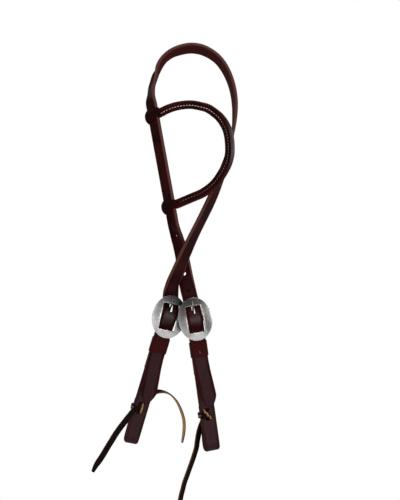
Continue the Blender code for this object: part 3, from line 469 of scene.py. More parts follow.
# %% Join the cheeks' rows and the tables
def billet_rows(cheek):
    rows = []
    for down_share, offset_share in cheek.billet:
        down = BILLET_LENGTH * down_share
        across = cheek.line(down) + STRAP_WIDTH * offset_share
        rows.append((*cheek.at(across, down, layer_rise(down) + BILLET_RISE), cheek.turn))
    for share in BILLET_TAPER_SHARES:
        near = FOLD_TAPER * share
        rise = layer_rise(near * 0.84) + BILLET_RISE
        rows.append((*cheek.at(cheek.line(near) * min(share, 1), near, rise), cheek.turn))
    for down_share, offset_share, rise_share in cheek.upper:
        place = cheek.at(STRAP_WIDTH * offset_share, PLATE_HEIGHT / 2 * down_share,
                         (FOLD_RADIUS + BILLET_RISE) * rise_share)
        rows.append((*place, cheek.turn + 6 * down_share))
    return rows


leg_rows = [(LOOP_WIDTH * across, -CROSSING_DEPTH * depth, -LEG_DROP * drop, turn)
            for across, drop, depth, turn in LEFT_LEG_SHARES + CROWN_SHARES + RIGHT_LEG_SHARES]
strap_route = turned_route(billet_rows(RIGHT) + leg_rows + billet_rows(LEFT)[::-1], STRAP_STEP)
print("the long strap is", round(strap_route.length * 1000), "mm")


def nearest_distance(route, point, low, high):
    span = [k for k, d in enumerate(route.distances) if low <= d <= high]
    return route.distances[min(span, key=lambda k: (route.places[k] - point).length)]


# %% [markdown]
# ## Cut, round and punch the long strap
# It could be swept from a section, but a strip that is cut, edged and punched flat gives clean
# round holes and even edges, and its flat coordinates then drive the leather's finish.

# %% Model the long strap
def point_share(distance):
    """A rounded point: straight sides that meet in a small round end."""
    share = min(max(distance / BILLET_POINT, 0), 1)
    return 0.16 + 0.84 * (0.55 * share + 0.45 * math.sqrt(1 - (1 - share) ** 2))


def punch_hole(strip, x, radius=HOLE_RADIUS, length=0.0, blind=False):
    """A round hole, a long one, or one whose plug still closes it behind."""
    cutter = cylinder(radius, CUTTER_LENGTH, location=(x, 0, BLIND_CUTTER_LIFT if blind else 0),
                      rotation=(0, 0, 0))
    if length:
        for point in cutter.data.vertices:
            point.co.x += (length / 2 - radius) * (1 if point.co.x > x else -1)
    carve(strip, cutter)


strap = flat_strip("long_strap", strap_route.length, STRAP_WIDTH, STRAP_STEP, 8)
blunt_ends(strap, strap_route.length, point_share)
give_thickness(strap, STRAP_THICKNESS, STRAP_EDGE)
right_bar = nearest_distance(strap_route, RIGHT.bar, 0, 0.2)
left_bar = nearest_distance(strap_route, LEFT.bar, strap_route.length - 0.2, strap_route.length)
punch_hole(strap, right_bar + TONGUE_HOLE_PLACE, RIGHT_TONGUE_HOLE_RADIUS, TONGUE_HOLE_LENGTH)
punch_hole(strap, left_bar - TONGUE_HOLE_PLACE, LEFT_TONGUE_HOLE_RADIUS,
           TONGUE_HOLE_LENGTH + LEFT_TONGUE_HOLE_EXTRA)
for number in range(1, HOLE_COUNT):
    x = right_bar + TONGUE_HOLE_PLACE + HOLE_PITCH * number
    punch_hole(strap, x, blind=number == 1)
note_flat(strap, STRAP_WIDTH / 2, STRAP_THICKNESS / 2)
# Where the strap turns over at the top left, the leather cups a little across its width.
twist = nearest_distance(strap_route, TWIST_PLACE, 0, strap_route.length)
for point in strap.data.vertices:
    cup = eased(1 - abs(point.co.x - twist) / CUP_REACH)
    point.co.z += CUP_DEPTH * cup * ((2 * point.co.y / STRAP_WIDTH) ** 2 - 0.5)
lay_along(strap, strap_route)
smooth(strap)
print("strap faces", len(strap.data.polygons))

# %% [markdown]
# ## The short straps that hold the bit
# Each is one strip folded round its buckle's bar, led down in front, round where the bit ring
# hangs, and back up behind to the tie. A flat strip laid along that path keeps the folds round.

# %% Model both bit-end straps
def worn_share(down):
    return eased((down - TIE_BOTTOM) / (CHEEK_LENGTH - TIE_BOTTOM - BIT_LOOP_RADIUS))


def bit_end_route(cheek):
    rows = []
    for down in (UPPER_TAIL_LENGTH, UPPER_TAIL_LENGTH * 0.8, UPPER_TAIL_LENGTH * 0.5, FOLD_TAPER,
                 FOLD_TAPER * 0.66, FOLD_TAPER * 0.33):
        rows.append((down, -layer_rise(down), 1.0))
    for k in range(13):
        turn = math.pi * k / 12
        rows.append((-FOLD_RADIUS * math.sin(turn), -FOLD_RADIUS * math.cos(turn), 1.0))
    bend_radius = BIT_LOOP_RADIUS + CHAPE_THICKNESS / 2
    bend_centre = CHEEK_LENGTH - CHAPE_THICKNESS / 2 - bend_radius
    for down in (FOLD_TAPER * 0.33, FOLD_TAPER * 0.66, FOLD_TAPER, UPPER_TAIL_LENGTH * 0.5,
                 UPPER_TAIL_LENGTH, TIE_TOP, TIE_BOTTOM, bend_centre - bend_radius * 0.6):
        rows.append((down, layer_rise(down), 1.0))
    for k in range(17):
        turn = math.pi * k / 16
        corner = max(math.sin(turn) - 0.62, 0) / 0.38
        narrow = BIT_END_CORNER * 2 / STRAP_WIDTH * (1 - math.sqrt(1 - corner * corner))
        rows.append((bend_centre + bend_radius * math.sin(turn),
                     HALF_STACK - bend_radius * (1 - math.cos(turn)), 1 - narrow))
    low, high = TIE_BOTTOM + LACE_THICKNESS * 2, bend_centre
    for k in range(1, 9):
        start = HALF_STACK - 2 * bend_radius
        rows.append((high + (low - high) * k / 8, start + (-HALF_STACK - start) * eased(k / 8), 1.0))
    rows += [(TIE_TOP, -HALF_STACK, 1.0), (BACK_LAYER_END, -HALF_STACK, 1.0)]
    straight = [cheek.at(0, down, out) for down, out, _ in rows]
    facings = [cheek.right.cross(way) for way in directions(straight)]
    if cheek.side == "left":
        # The left strap is worn slimmer below its tie, most of it from its outer edge.
        rows = [(down, out, width - WORN_WIDTH_SHARE * worn_share(down)) for down, out, width in rows]
    shift = WORN_SHIFT if cheek.side == "left" else 0
    places = [cheek.at(cheek.line(down) + shift * worn_share(down), down, out) for down, out, _ in rows]
    joined = smooth_rows([(*place, *facing, row[2]) for place, facing, row in zip(places, facings, rows)],
                         FOLD_STEP)
    return Route([Vector(row[:3]) for row in joined], [Vector(row[3:6]) for row in joined],
                 [row[6] for row in joined])


def bit_end_strap(cheek):
    route = bit_end_route(cheek)
    strip = flat_strip(f"{cheek.side}_bit_end_leather", route.length, STRAP_WIDTH, SHORT_STRAP_STEP, 8)
    give_thickness(strip, CHAPE_THICKNESS, STRAP_EDGE)
    note_flat(strip, STRAP_WIDTH / 2, -CHAPE_THICKNESS / 2)
    lay_along(strip, route)
    carve(strip, seat(cube(TONGUE_SLOT), cheek))
    for down in (TIE_TOP, TIE_BOTTOM):
        slot = cube((HELD_LACE_WIDTH + 2 * GAP, LACE_THICKNESS + 2 * GAP, TIE_SLOT_DEPTH),
                    (cheek.line(down), -down, 0))
        carve(strip, seat(slot, cheek))
    smooth(strip)
    return strip


def seat(item, cheek):
    """Move a mesh modelled at the bar's middle (x right, y up, z out) to its cheek."""
    turn = Matrix((cheek.right, -cheek.down, cheek.out)).transposed().to_4x4()
    item.data.transform(Matrix.Translation(cheek.bar) @ turn)
    item.data.update()
    return item


left_chape, right_chape = bit_end_strap(LEFT), bit_end_strap(RIGHT)
print("bit-end faces", len(left_chape.data.polygons), len(right_chape.data.polygons))

# %% [markdown]
# ## Domed buckles
# A plate like this is pressed from sheet steel: an oval with a rectangular window, slightly
# domed. Two loops with matching points are bridged, so that the dome's highlights run evenly, and
# the sheet gets its thickness and its soft edges from modifiers.

# %% Model the buckle's plate, lugs, bar and tongue
def dome(across, up):
    return PLATE_RISE - DOME_SAG * ((2 * across / PLATE_WIDTH) ** 2 + (2 * up / PLATE_HEIGHT) ** 2)


def window_reach(turn):
    wide, high = abs(2 * math.cos(turn) / WINDOW_WIDTH), abs(2 * math.sin(turn) / WINDOW_HEIGHT)
    return (wide ** WINDOW_SQUARENESS + high ** WINDOW_SQUARENESS) ** (-1 / WINDOW_SQUARENESS)


def buckle_plate(name):
    fresh()
    bpy.ops.mesh.primitive_circle_add(vertices=144, radius=1)
    plate = call(bpy.context.object, name)
    plate.scale = (PLATE_WIDTH / 2, PLATE_HEIGHT / 2, 1)
    apply_size(plate)
    pick(plate, "VERT", anywhere)
    bpy.ops.mesh.duplicate()
    done()
    inner = [point for point in plate.data.vertices if point.select]
    corner = math.atan2(WINDOW_HEIGHT, WINDOW_WIDTH)
    for point in inner:
        turn = math.atan2(point.co.y / PLATE_HEIGHT, point.co.x / PLATE_WIDTH)
        flat = abs(math.atan2(abs(math.sin(turn)), abs(math.cos(turn))))
        # Points gather towards the window's corners, so that these stay crisp.
        if flat < QUARTER / 2:
            aim = corner * math.sin(2 * flat)
        else:
            aim = corner + (QUARTER - corner) * (1 - math.cos(2 * flat - QUARTER))
        aim = math.copysign(aim if abs(turn) <= QUARTER else HALF_TURN - aim, turn)
        reach = window_reach(aim)
        point.co = (reach * math.cos(aim), reach * math.sin(aim), 0)
    pick(plate, "EDGE", anywhere)
    bpy.ops.mesh.bridge_edge_loops(number_cuts=7, interpolation="LINEAR")
    done()
    for point in plate.data.vertices:
        point.co.z = dome(point.co.x, point.co.y)
    face_outwards(plate)
    if plate.data.polygons[0].normal.z < 0:
        plate.data.flip_normals()
    add_modifier(plate, "SOLIDIFY", thickness=PLATE_THICKNESS, offset=-1)
    add_modifier(plate, "BEVEL", width=PLATE_EDGE, segments=4, limit_method="ANGLE",
                 angle_limit=math.radians(60))
    return plate


def tongue_notch(plate):
    """A shallow round seat in the top rim for the tongue's tip."""
    cutter = cylinder(TONGUE_RADIUS + GAP * 0.7, NOTCH_LENGTH,
                      location=(0, NOTCH_PLACE, dome(0, NOTCH_PLACE) + NOTCH_LIFT),
                      rotation=(math.radians(93), 0, 0))
    round_off(cutter, "FACE", lambda place, way: abs(way.y) > 0.8, NOTCH_EDGE, 4)
    carve(plate, cutter)


def lug(sign):
    inner = STRAP_WIDTH / 2 + LUG_CLEARANCE
    top = dome(inner + LUG_WIDTH, 0) - PLATE_THICKNESS / 2
    low = -BAR_RADIUS - LUG_BACK
    block = cube((LUG_WIDTH, LUG_DEPTH, top - low), (sign * (inner + LUG_WIDTH / 2), 0, (top + low) / 2))
    round_off(block, "EDGE", lambda middle, way: middle.z < 0, LUG_EDGE, 4)
    return block


def buckle(cheek):
    plate = buckle_plate(f"{cheek.side}_buckle_plate")
    tongue_notch(plate)
    seat(join(plate, lug(-1), lug(1)), cheek)
    smooth(plate, 30)
    return plate


def buckle_bar(cheek):
    half = STRAP_WIDTH / 2 + LUG_CLEARANCE + LUG_WIDTH
    bar = call(cylinder(BAR_RADIUS, 2 * half), f"{cheek.side}_steel_bar")
    round_off(bar, "FACE", lambda place, way: abs(way.x) > 0.9, BAR_EDGE, 2)
    seat(bar, cheek)
    smooth(bar)
    return bar


def tongue(cheek):
    """A shank laid along its bent path, with a ring round the bar."""
    rows = [tuple(cheek.at(0, -TONGUE_LENGTH * up, PLATE_RISE * rise)) for up, rise in TONGUE_SHARES]
    places = [Vector(row) for row in smooth_rows(rows, 0.0006)]
    route = Route(places, [cheek.right.cross(way) for way in directions(places)])
    shank = cylinder(TONGUE_RADIUS, route.length, 20, (route.length / 2, 0, 0))
    call(shank, f"{cheek.side}_steel_tongue")
    split(shank, along_x, 30)
    round_off(shank, "FACE", lambda place, way: way.x > 0.9, TONGUE_RADIUS * 0.8, 5)
    lay_along(shank, route)
    fresh()
    bpy.ops.mesh.primitive_torus_add(major_segments=40, minor_segments=14,
                                     major_radius=BAR_RADIUS + GAP + TONGUE_WALL / 2,
                                     minor_radius=TONGUE_WALL / 2, rotation=(0, QUARTER, 0))
    ring = apply_size(bpy.context.object)
    for point in ring.data.vertices:
        point.co.x *= TONGUE_WIDTH / TONGUE_WALL
    join(shank, seat(ring, cheek))
    smooth(shank, 50)
    return shank


left_plate, right_plate = buckle(LEFT), buckle(RIGHT)
left_bar_pin, right_bar_pin = buckle_bar(LEFT), buckle_bar(RIGHT)
left_tongue, right_tongue = tongue(LEFT), tongue(RIGHT)
print("plate faces", len(left_plate.data.polygons))

# %% [markdown]
# ## Keepers
# A keeper is a strip of thin leather bent into a band and butted behind. A box with its two open
# ends taken away and its long edges rounded is that band, and Solidify gives it the wall.

# %% Model a keeper on each cheek
def open_band(size, location, corner, segments):
    """A box without its two open ends, its long edges rounded and its faces divided."""
    band = cube(size, location)
    pick(band, "FACE", lambda place, way: abs(way.y) > 0.9)
    bpy.ops.mesh.delete(type="ONLY_FACE")
    done()
    round_off(band, "EDGE", lambda middle, way: abs(way.y) > 0.9, corner, segments)
    split(band, anywhere, 5)
    return band


def keeper(cheek):
    low = -HALF_STACK - CHAPE_THICKNESS / 2 - KEEPER_CLEARANCE
    high = HALF_STACK + BILLET_RISE + STRAP_THICKNESS / 2 + KEEPER_CLEARANCE
    half = STRAP_WIDTH / 2 + KEEPER_CLEARANCE
    middle = -KEEPER_START - KEEPER_HEIGHT / 2
    band = open_band((2 * half, KEEPER_HEIGHT, high - low), (0, middle, (low + high) / 2), KEEPER_CORNER, 8)
    call(band, f"{cheek.side}_keeper_band")
    for point in band.data.vertices:
        share = (point.co.y - middle) / (KEEPER_HEIGHT / 2)
        if point.co.z > high * 0.8:
            # The leather stands a little proud over the billet.
            point.co.z += KEEPER_SWELL * (1 - share * share) * (1 - (point.co.x / half) ** 2)
    add_modifier(band, "SOLIDIFY", thickness=KEEPER_WALL, offset=1)
    add_modifier(band, "BEVEL", width=KEEPER_EDGE, segments=3, limit_method="ANGLE",
                 angle_limit=math.radians(60))
    for point in band.data.vertices:
        point.co.x += cheek.line(-point.co.y)
    note_flat(band, half + KEEPER_WALL, high)
    seat(band, cheek)
    smooth(band)
    return band


left_keeper, right_keeper = keeper(LEFT), keeper(RIGHT)
print("keeper faces", len(left_keeper.data.polygons))

# %% [markdown]
# ## The slip ear
# The ear is a soft strip rolled round a cord and stitched beside the roll, so its section is a
# round roll outside and a flat flange inside, with the thread lying in a groove. One stitch's
# length of it is modelled and repeated, and the whole length is laid along the ear's curve.

# %% Find the ear's curve
def leg_point(across_share, drop_share, depth_share):
    return Vector((LOOP_WIDTH * across_share, -CROSSING_DEPTH * depth_share, -LEG_DROP * drop_share))


def run_frame(drop_share):
    """Place and directions on the straight run that the ear slides on."""
    top_row, bottom_row = LEFT_LEG_SHARES[-2], LEFT_LEG_SHARES[5]
    top, bottom = leg_point(*top_row[:3]), leg_point(*bottom_row[:3])
    way = (top - bottom).normalized()
    facing = turned_facing(way, STRAIGHT_RUN_TURN)
    facing = (facing - way * facing.dot(way)).normalized()
    share = (drop_share - top_row[1]) / (bottom_row[1] - top_row[1])
    return top.lerp(bottom, share), way, way.cross(facing), facing


def loop_wall(drop_share):
    place, _, across, facing = run_frame(drop_share)
    return (place + across * (STRAP_WIDTH / 2 + LOOP_WALL * 0.6)
            - facing * (STRAP_THICKNESS / 2 + LOOP_WALL * 0.45))


UPPER_LOOP_SHARE, LOWER_LOOP_SHARE = 0.236, 0.580
middle_line = [Vector((LOOP_WIDTH * across, -EAR_DEPTH * depth, -LEG_DROP * drop))
               for across, drop, depth in EAR_SHARES]
ear_start_place = loop_wall(UPPER_LOOP_SHARE) + Vector((0, 0, -0.0018))
ear_end_place = loop_wall(LOWER_LOOP_SHARE) + Vector((0, 0, -0.0006))
ear_places = [Vector(row) for row in smooth_rows(
    [tuple(p) for p in (ear_start_place, *middle_line, ear_end_place)], 0.002)]
ear_facings = []
for way in directions(ear_places):
    # The roll lies back where the ear runs across, so that its seam comes to the middle there.
    outward = FRONT.cross(way).normalized()
    turn = EAR_ROLL_BACK * abs(way.x)
    ear_facings.append(way.cross(outward) * math.cos(turn) + outward * math.sin(turn))
ear_route = Route(ear_places, ear_facings)
print("the ear is", round(ear_route.length * 1000), "mm")


# %% Model the ear's leather
def ear_length():
    """One stitch's length of the rolled strip, repeated and joined."""
    start = -EAR_NECK * 0.45
    count = round((ear_route.length - 2 * start) / STITCH_PITCH)
    pitch = (ear_route.length - 2 * start) / count
    roll, half = EAR_WIDTH / 2 - ROLL_RADIUS, FLANGE_THICKNESS / 2
    fresh()
    bpy.ops.mesh.primitive_circle_add(vertices=48, radius=ROLL_RADIUS, rotation=(0, QUARTER, 0),
                                      location=(start, roll, 0))
    ear = call(apply_size(bpy.context.object), "ear_leather")
    for point in ear.data.vertices:
        turn = math.atan2(point.co.z, -(point.co.y - roll))
        if abs(turn) < math.radians(56):
            # The roll's inner side is drawn out into the flange.
            share = 1 - abs(turn) / math.radians(56)
            point.co.y = roll - ROLL_RADIUS * 0.7 - (EAR_WIDTH / 2 + roll - ROLL_RADIUS * 0.7) \
                * min(share * 1.18, 1)
            point.co.z = math.copysign(half, turn) * (1.0 if share < 0.85 else (1 - share) / 0.15)
            if abs(point.co.y - STITCH_PLACE) < GROOVE_HALF:
                point.co.z *= 0.72
    steps = 4
    for number in range(steps):
        pick(ear, "VERT", lambda place, way, x=start + pitch * number / steps: abs(place.x - x) < 1e-6)
        bpy.ops.mesh.extrude_region_move(TRANSFORM_OT_translate={"value": (pitch / steps, 0, 0)})
        done()
    for point in ear.data.vertices:
        # Each stitch pulls the groove in a little at its two ends.
        phase = (point.co.x - start) / pitch
        if abs(point.co.y - STITCH_PLACE) < 0.0011 and abs(phase - round(phase)) < 0.1:
            point.co.z *= 0.86
    repeat(ear, count, pitch, use_merge_vertices=True, merge_threshold=1e-5)
    for side in (start, start + pitch * count):
        pick(ear, "VERT", lambda place, way, x=side: abs(place.x - x) < 1e-5)
        bpy.ops.mesh.edge_face_add()
        done()
    face_outwards(ear)
    add_modifier(ear, "SUBSURF", levels=1, render_levels=1)
    mesh = ear.data
    roundness = mesh.attributes.new("roll", "FLOAT", "POINT")
    for point in mesh.vertices:
        roundness.data[point.index].value = (point.co.y + EAR_WIDTH / 2) / EAR_WIDTH
    note_flat(ear, EAR_WIDTH / 2, ROLL_RADIUS)
    lay_along(ear, ear_route)
    smooth(ear, 60)
    return ear, start, pitch, count


ear, ear_start, ear_pitch, ear_count = ear_length()
print("ear faces", len(ear.data.polygons))


# %% Model the ear's stitches and its loops
def ear_thread(start, pitch, count):
    """One waxed stitch, repeated along the flange, in front and behind."""
    lift = FLANGE_THICKNESS / 2 - 0.0002
    middle, half = start + pitch * 1.5, pitch * 0.36
    thread = cylinder(THREAD_RADIUS * 0.9, 2 * half, 10, (middle, STITCH_PLACE, 0))
    call(thread, "ear_thread")
    split(thread, along_x, 6)
    for point in thread.data.vertices:
        share = (point.co.x - middle) / half
        slim = 1 - 0.45 * abs(share) ** 3
        point.co.y = STITCH_PLACE + (point.co.y - STITCH_PLACE) * slim + 0.00018 * share
        point.co.z = point.co.z * slim + lift - 0.0006 * abs(share) ** 3
    pick(thread, "VERT", anywhere)
    bpy.ops.mesh.duplicate()
    done()
    for point in thread.data.vertices:
        if point.select:
            point.co.z *= -1
            point.co.x -= pitch * 0.02
    face_outwards(thread)
    repeat(thread, count - 3, pitch)
    lay_along(thread, ear_route)
    smooth(thread, 60)
    return thread


def ear_knob(name, drop_share, droop):
    """The end of the roll that wraps the strap: a soft round collar."""
    place, way, across, facing = run_frame(drop_share)
    half_across = STRAP_WIDTH / 2 + LOOP_CLEARANCE
    half_out = STRAP_THICKNESS / 2 + LOOP_CLEARANCE
    band = open_band((2 * half_across, LOOP_BAND, 2 * half_out), (0, 0, 0), LOOP_CORNER, 4)
    call(band, name)
    add_modifier(band, "SOLIDIFY", thickness=LOOP_WALL, offset=1)
    for point in band.data.vertices:
        x, y, z = point.co
        outside = max(abs(x) / half_across, abs(z) / half_out) > 1.05
        share = y / (LOOP_BAND / 2)
        if outside:
            # The collar is full in its middle and falls away to its rims, like the roll it ends.
            fall = LOOP_WALL * 0.8 * share ** 4
            if abs(x) > half_across:
                point.co.x -= math.copysign(fall, x)
                point.co.x += (-0.0024 if x < 0 else 0.0004) * (1 - share * share)
            if abs(z) > half_out:
                point.co.z -= math.copysign(fall, z)
        # It is taller and lower at the strap's far edge, where the ear's end folds round it.
        far = min(max((half_across - x) / (2 * half_across), 0), 1)
        point.co.y = y * (1.05 + 0.55 * far) - droop * far
    add_modifier(band, "SUBSURF", levels=1, render_levels=1)
    note_flat(band, half_across + LOOP_WALL, half_out + LOOP_WALL)
    matrix = Matrix((across, way, across.cross(way))).transposed().to_4x4()
    band.data.transform(Matrix.Translation(place) @ matrix)
    face_outwards(band)
    smooth(band, 60)
    return band


thread = ear_thread(ear_start, ear_pitch, ear_count)
upper_knob = ear_knob("upper_ear_collar", UPPER_LOOP_SHARE, UPPER_DROOP)
lower_knob = ear_knob("lower_ear_collar", LOWER_LOOP_SHARE, LOWER_DROOP)
print(ear_count - 3, "stitches of", round(ear_pitch * 1000, 2), "mm")

# %% [markdown]
# ## Laces
# The laces are cut from thin oil-tanned leather: near black on the grain side and tan where the
# knife went through. The held part passes over the front between two slots and is knotted behind.
# The tails are free lengths, and each tail's length is printed.

# %% Model the ties
def lace_strip(name, route, taper=0.0, step=0.0011, cut=None):
    """A lace along its route; "cut" says where its tan cut edge shows, from places in the flat."""
    width = (LACE_WIDTH if taper else HELD_LACE_WIDTH) / 2
    strip = flat_strip(name, route.length, 2 * width, step, 4)
    if taper:
        for point in strip.data.vertices:
            left = (route.length - point.co.x) / taper
            point.co.y *= 0.5 + 0.5 * min(max(left, 0), 1) ** 0.8
    give_thickness(strip, LACE_THICKNESS, LACE_THICKNESS / 5)
    note_flat(strip, width, LACE_THICKNESS / 2)
    tan = strip.data.attributes.new("tan", "FLOAT", "POINT")
    for point in strip.data.vertices:
        if cut:
            tan.data[point.index].value = cut(point.co.x / route.length, point.co.y / width)
    lay_along(strip, route)
    smooth(strip)
    return strip


def cheek_route(cheek, rows, facing_at, step=0.0008):
    """A route through places given as across, down and out, with its grain direction."""
    path = smooth_rows([(*cheek.at(cheek.line(down) + across, down, out), *facing_at(across, down, out))
                        for across, down, out in rows], step)
    return Route([Vector(row[:3]) for row in path], [Vector(row[3:6]) for row in path])


def tie(cheek):
    front = HALF_STACK + CHAPE_THICKNESS / 2 + GAP + LACE_THICKNESS / 2
    middle, half = (TIE_TOP + TIE_BOTTOM) / 2, (TIE_BOTTOM - TIE_TOP) / 2
    lean = (0.0, 0.0) if cheek.side == "left" else (-0.0026, 0.0012)
    rows = [(lean[0], middle - half, -front * 0.6), (lean[0], middle - half, front * 0.45),
            (lean[0] * 0.9, middle - half * 0.72, front + 0.0002),
            (sum(lean) / 2, middle, front + TIE_LIFT), (lean[1] * 0.9, middle + half * 0.72, front + 0.0002),
            (lean[1], middle + half, front * 0.45), (lean[1], middle + half, -front * 0.6)]

    def away(across, down, out):
        up = (middle - down) / half
        return cheek.out * max(0.2, 1 - abs(up) ** 3) - cheek.down * up

    def one_edge(along, across):
        """The left tie shows its right edge, the right tie an edge that runs down aslant."""
        aim = 0.9 - 0.5 * (1 - (2 * along - 1) ** 2) if cheek.side == "left" else (along - 0.5) * 2.6
        return 1.0 if abs(across - aim) < 0.24 and 0.22 < along < 0.78 else 0.0
    band = lace_strip(f"{cheek.side}_tie_band", cheek_route(cheek, rows, away), step=0.0006,
                      cut=one_edge)
    edge = -STRAP_WIDTH / 2 - LACE_THICKNESS * 0.7
    wrap = [(0.0004, middle + half * 0.35, front + 0.0006), (-0.0030, middle + half * 0.30, front + 0.0010),
            (-0.0068, middle + half * 0.12, front + 0.0003), (edge + 0.0006, middle, front * 0.62),
            (edge, middle - half * 0.05, 0.0), (edge + 0.0006, middle - half * 0.1, -front * 0.62),
            (-0.0066, middle - half * 0.1, -front - 0.0006), (-0.0020, middle, -front - 0.0016)]

    def round_edge(across, down, out):
        turn = min(max((across - edge) / 0.006, 0), 1)
        return cheek.out * math.copysign(turn, out) - cheek.right * (1.05 - turn)

    def by_edge(along, across):
        return 0.8 if 0.36 < along < 0.52 and abs(across) < 0.4 else 0.0
    over = lace_strip(f"{cheek.side}_tie_wrap", cheek_route(cheek, wrap, round_edge), cut=by_edge)
    turns = [band, over]
    for sign in (-1, 1):
        loop = []
        for k in range(25):
            turn = 2 * math.pi * k / 24
            loop.append((KNOT_RADIUS * math.cos(turn),
                         middle + sign * (KNOT_DROP * math.cos(turn) + KNOT_SPREAD),
                         -front - KNOT_BACK - 0.0004 * sign + (0.0017 + 0.0002 * sign) * math.sin(turn)))

        def outwards(across, down, out):
            return cheek.out * (out + front + KNOT_BACK) * 2.4 + cheek.right * across
        turns.append(lace_strip(f"{cheek.side}_knot_{sign}", cheek_route(cheek, loop, outwards)))
    call(join(*turns), f"{cheek.side}_tie")
    smooth(band)
    return band


left_tie, right_tie = tie(LEFT), tie(RIGHT)
print("tie faces", len(left_tie.data.polygons))

LEFT_FRONT_TAIL = [
    (-0.0705, -0.0030, -0.4385), (-0.0728, -0.0028, -0.4412), (-0.0757, -0.0024, -0.4448),
    (-0.0795, -0.0018, -0.4495), (-0.0842, -0.0010, -0.4555), (-0.0897, -0.0004, -0.4628),
    (-0.0946, -0.0006, -0.4699), (-0.0989, -0.0010, -0.4770),
    (-0.1035, -0.0010, -0.4843), (-0.1078, -0.0008, -0.4917), (-0.1124, -0.0006, -0.4990),
    (-0.1174, -0.0004, -0.5063), (-0.1218, 0.0000, -0.5148),
]
LEFT_BACK_TAIL = [
    (-0.0626, 0.0120, -0.4268), (-0.0588, 0.0119, -0.4236), (-0.0531, 0.0114, -0.4212),
    (-0.0480, 0.0112, -0.4190), (-0.0425, 0.0108, -0.4176), (-0.0360, 0.0100, -0.4178),
    (-0.0295, 0.0088, -0.4198), (-0.0212, 0.0070, -0.4270), (-0.0144, 0.0055, -0.4393),
    (-0.0104, 0.0044, -0.4538), (-0.0107, 0.0036, -0.4675), (-0.0128, 0.0030, -0.4795),
]
RIGHT_FRONT_TAIL = [
    (0.0130, 0.0014, -0.4528), (0.0116, 0.0014, -0.4560), (0.0098, 0.0012, -0.4605),
    (0.0078, 0.0006, -0.4670), (0.0060, -0.0008, -0.4765), (0.0046, -0.0022, -0.4856),
    (0.0024, -0.0030, -0.4929), (-0.0004, -0.0028, -0.5014), (-0.0035, -0.0024, -0.5100),
    (-0.0065, -0.0020, -0.5185), (-0.0096, -0.0016, -0.5270), (-0.0118, -0.0012, -0.5356),
    (-0.0140, -0.0008, -0.5441), (-0.0155, -0.0004, -0.5527), (-0.0170, -0.0002, -0.5612),
    (-0.0178, 0.0000, -0.5697),
]


def spread(turns, count):
    found = []
    for k in range(count):
        place = k / (count - 1) * (len(turns) - 1)
        low = min(int(place), len(turns) - 2)
        found.append(turns[low] + (turns[low + 1] - turns[low]) * (place - low))
    return found


def tail(name, points, turns):
    route = turned_route([(*point, turn) for point, turn in zip(points, spread(turns, len(points)))], 0.0020)
    strip = lace_strip(name, route, taper=LACE_TAPER, step=0.0016)
    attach(strip, "strapwork")
    print(name, round(route.length * 1000), "mm")
    return strip


left_front = tail("left_front_lace", LEFT_FRONT_TAIL, (82, 82, 80, 80))
left_back = tail("left_back_lace", LEFT_BACK_TAIL, (88, 58, 2, -20, -17))
right_front = tail("right_front_lace", RIGHT_FRONT_TAIL, (84, 50, 45, 45, 50))

# %% [markdown]
# ## Small stitches
# One light stitch shows on the right keeper, and a short row behind each buckle closes the fold.

# %% Model the small stitches
def stitch(name, length):
    made = call(cylinder(THREAD_RADIUS, length, 10), name)
    split(made, along_x, 6)
    for point in made.data.vertices:
        share = point.co.x / (length / 2)
        point.co.y *= 1 - 0.4 * abs(share) ** 3
        point.co.z = point.co.z * (1 - 0.4 * abs(share) ** 3) - THREAD_RADIUS * abs(share) ** 3
    return made


def keeper_mark(cheek):
    down = KEEPER_START + KEEPER_HEIGHT * 0.72
    rise = (HALF_STACK + BILLET_RISE + STRAP_THICKNESS / 2 + KEEPER_CLEARANCE + KEEPER_WALL
            + THREAD_RADIUS + GAP)
    made = stitch("keeper_thread", KEEPER_STITCH)
    made.data.transform(Matrix.Translation((cheek.line(down), -down, rise))
                        @ Matrix.Rotation(QUARTER, 4, "Z"))
    seat(made, cheek)
    smooth(made, 60)
    return made


def fold_stitches(cheek):
    down = (BAR_RADIUS + GAP + TONGUE_WALL + 0.0042 + KEEPER_START) / 2
    rise = -layer_rise(down) - CHAPE_THICKNESS / 2 - THREAD_RADIUS
    made = stitch(f"{cheek.side}_fold_thread", FOLD_STITCH)
    first = cheek.line(down) - FOLD_STITCH_PITCH * (FOLD_STITCH_COUNT - 1) / 2
    made.data.transform(Matrix.Translation((first, -down, rise)) @ Matrix.Rotation(HALF_TURN, 4, "X"))
    repeat(made, FOLD_STITCH_COUNT, FOLD_STITCH_PITCH)
    seat(made, cheek)
    smooth(made, 60)
    return made


keeper_thread = keeper_mark(RIGHT)
left_fold_thread, right_fold_thread = fold_stitches(LEFT), fold_stitches(RIGHT)
print("stitch faces", len(keeper_thread.data.polygons), len(left_fold_thread.data.polygons))

# %% [markdown]
# ## Finishes
# Each finish is built from nodes by writing sums in Python. A small class holds one node output,
# so that an expression on values adds its Math nodes, and one method adds any other node.

# %% A class for shader sums
class Wire:
    """One node output that can be added, multiplied and compared."""

    def __init__(self, recipe, socket):
        self.recipe, self.socket = recipe, socket

    def sum(self, operation, first, second):
        return self.recipe.node("ShaderNodeMath", {"operation": operation}, {0: first, 1: second})[0]

    def __add__(self, other):
        return self.sum("ADD", self, other)

    def __sub__(self, other):
        return self.sum("SUBTRACT", self, other)

    def __rsub__(self, other):
        return self.sum("SUBTRACT", other, self)

    def __mul__(self, other):
        return self.sum("MULTIPLY", self, other)

    __radd__, __rmul__ = __add__, __mul__

    def between(self, low, high):
        """0 below low, 1 above high, smooth between them."""
        return self.recipe.node("ShaderNodeMapRange", {"interpolation_type": "SMOOTHSTEP"},
                                {"Value": self, "From Min": low, "From Max": high})[0]


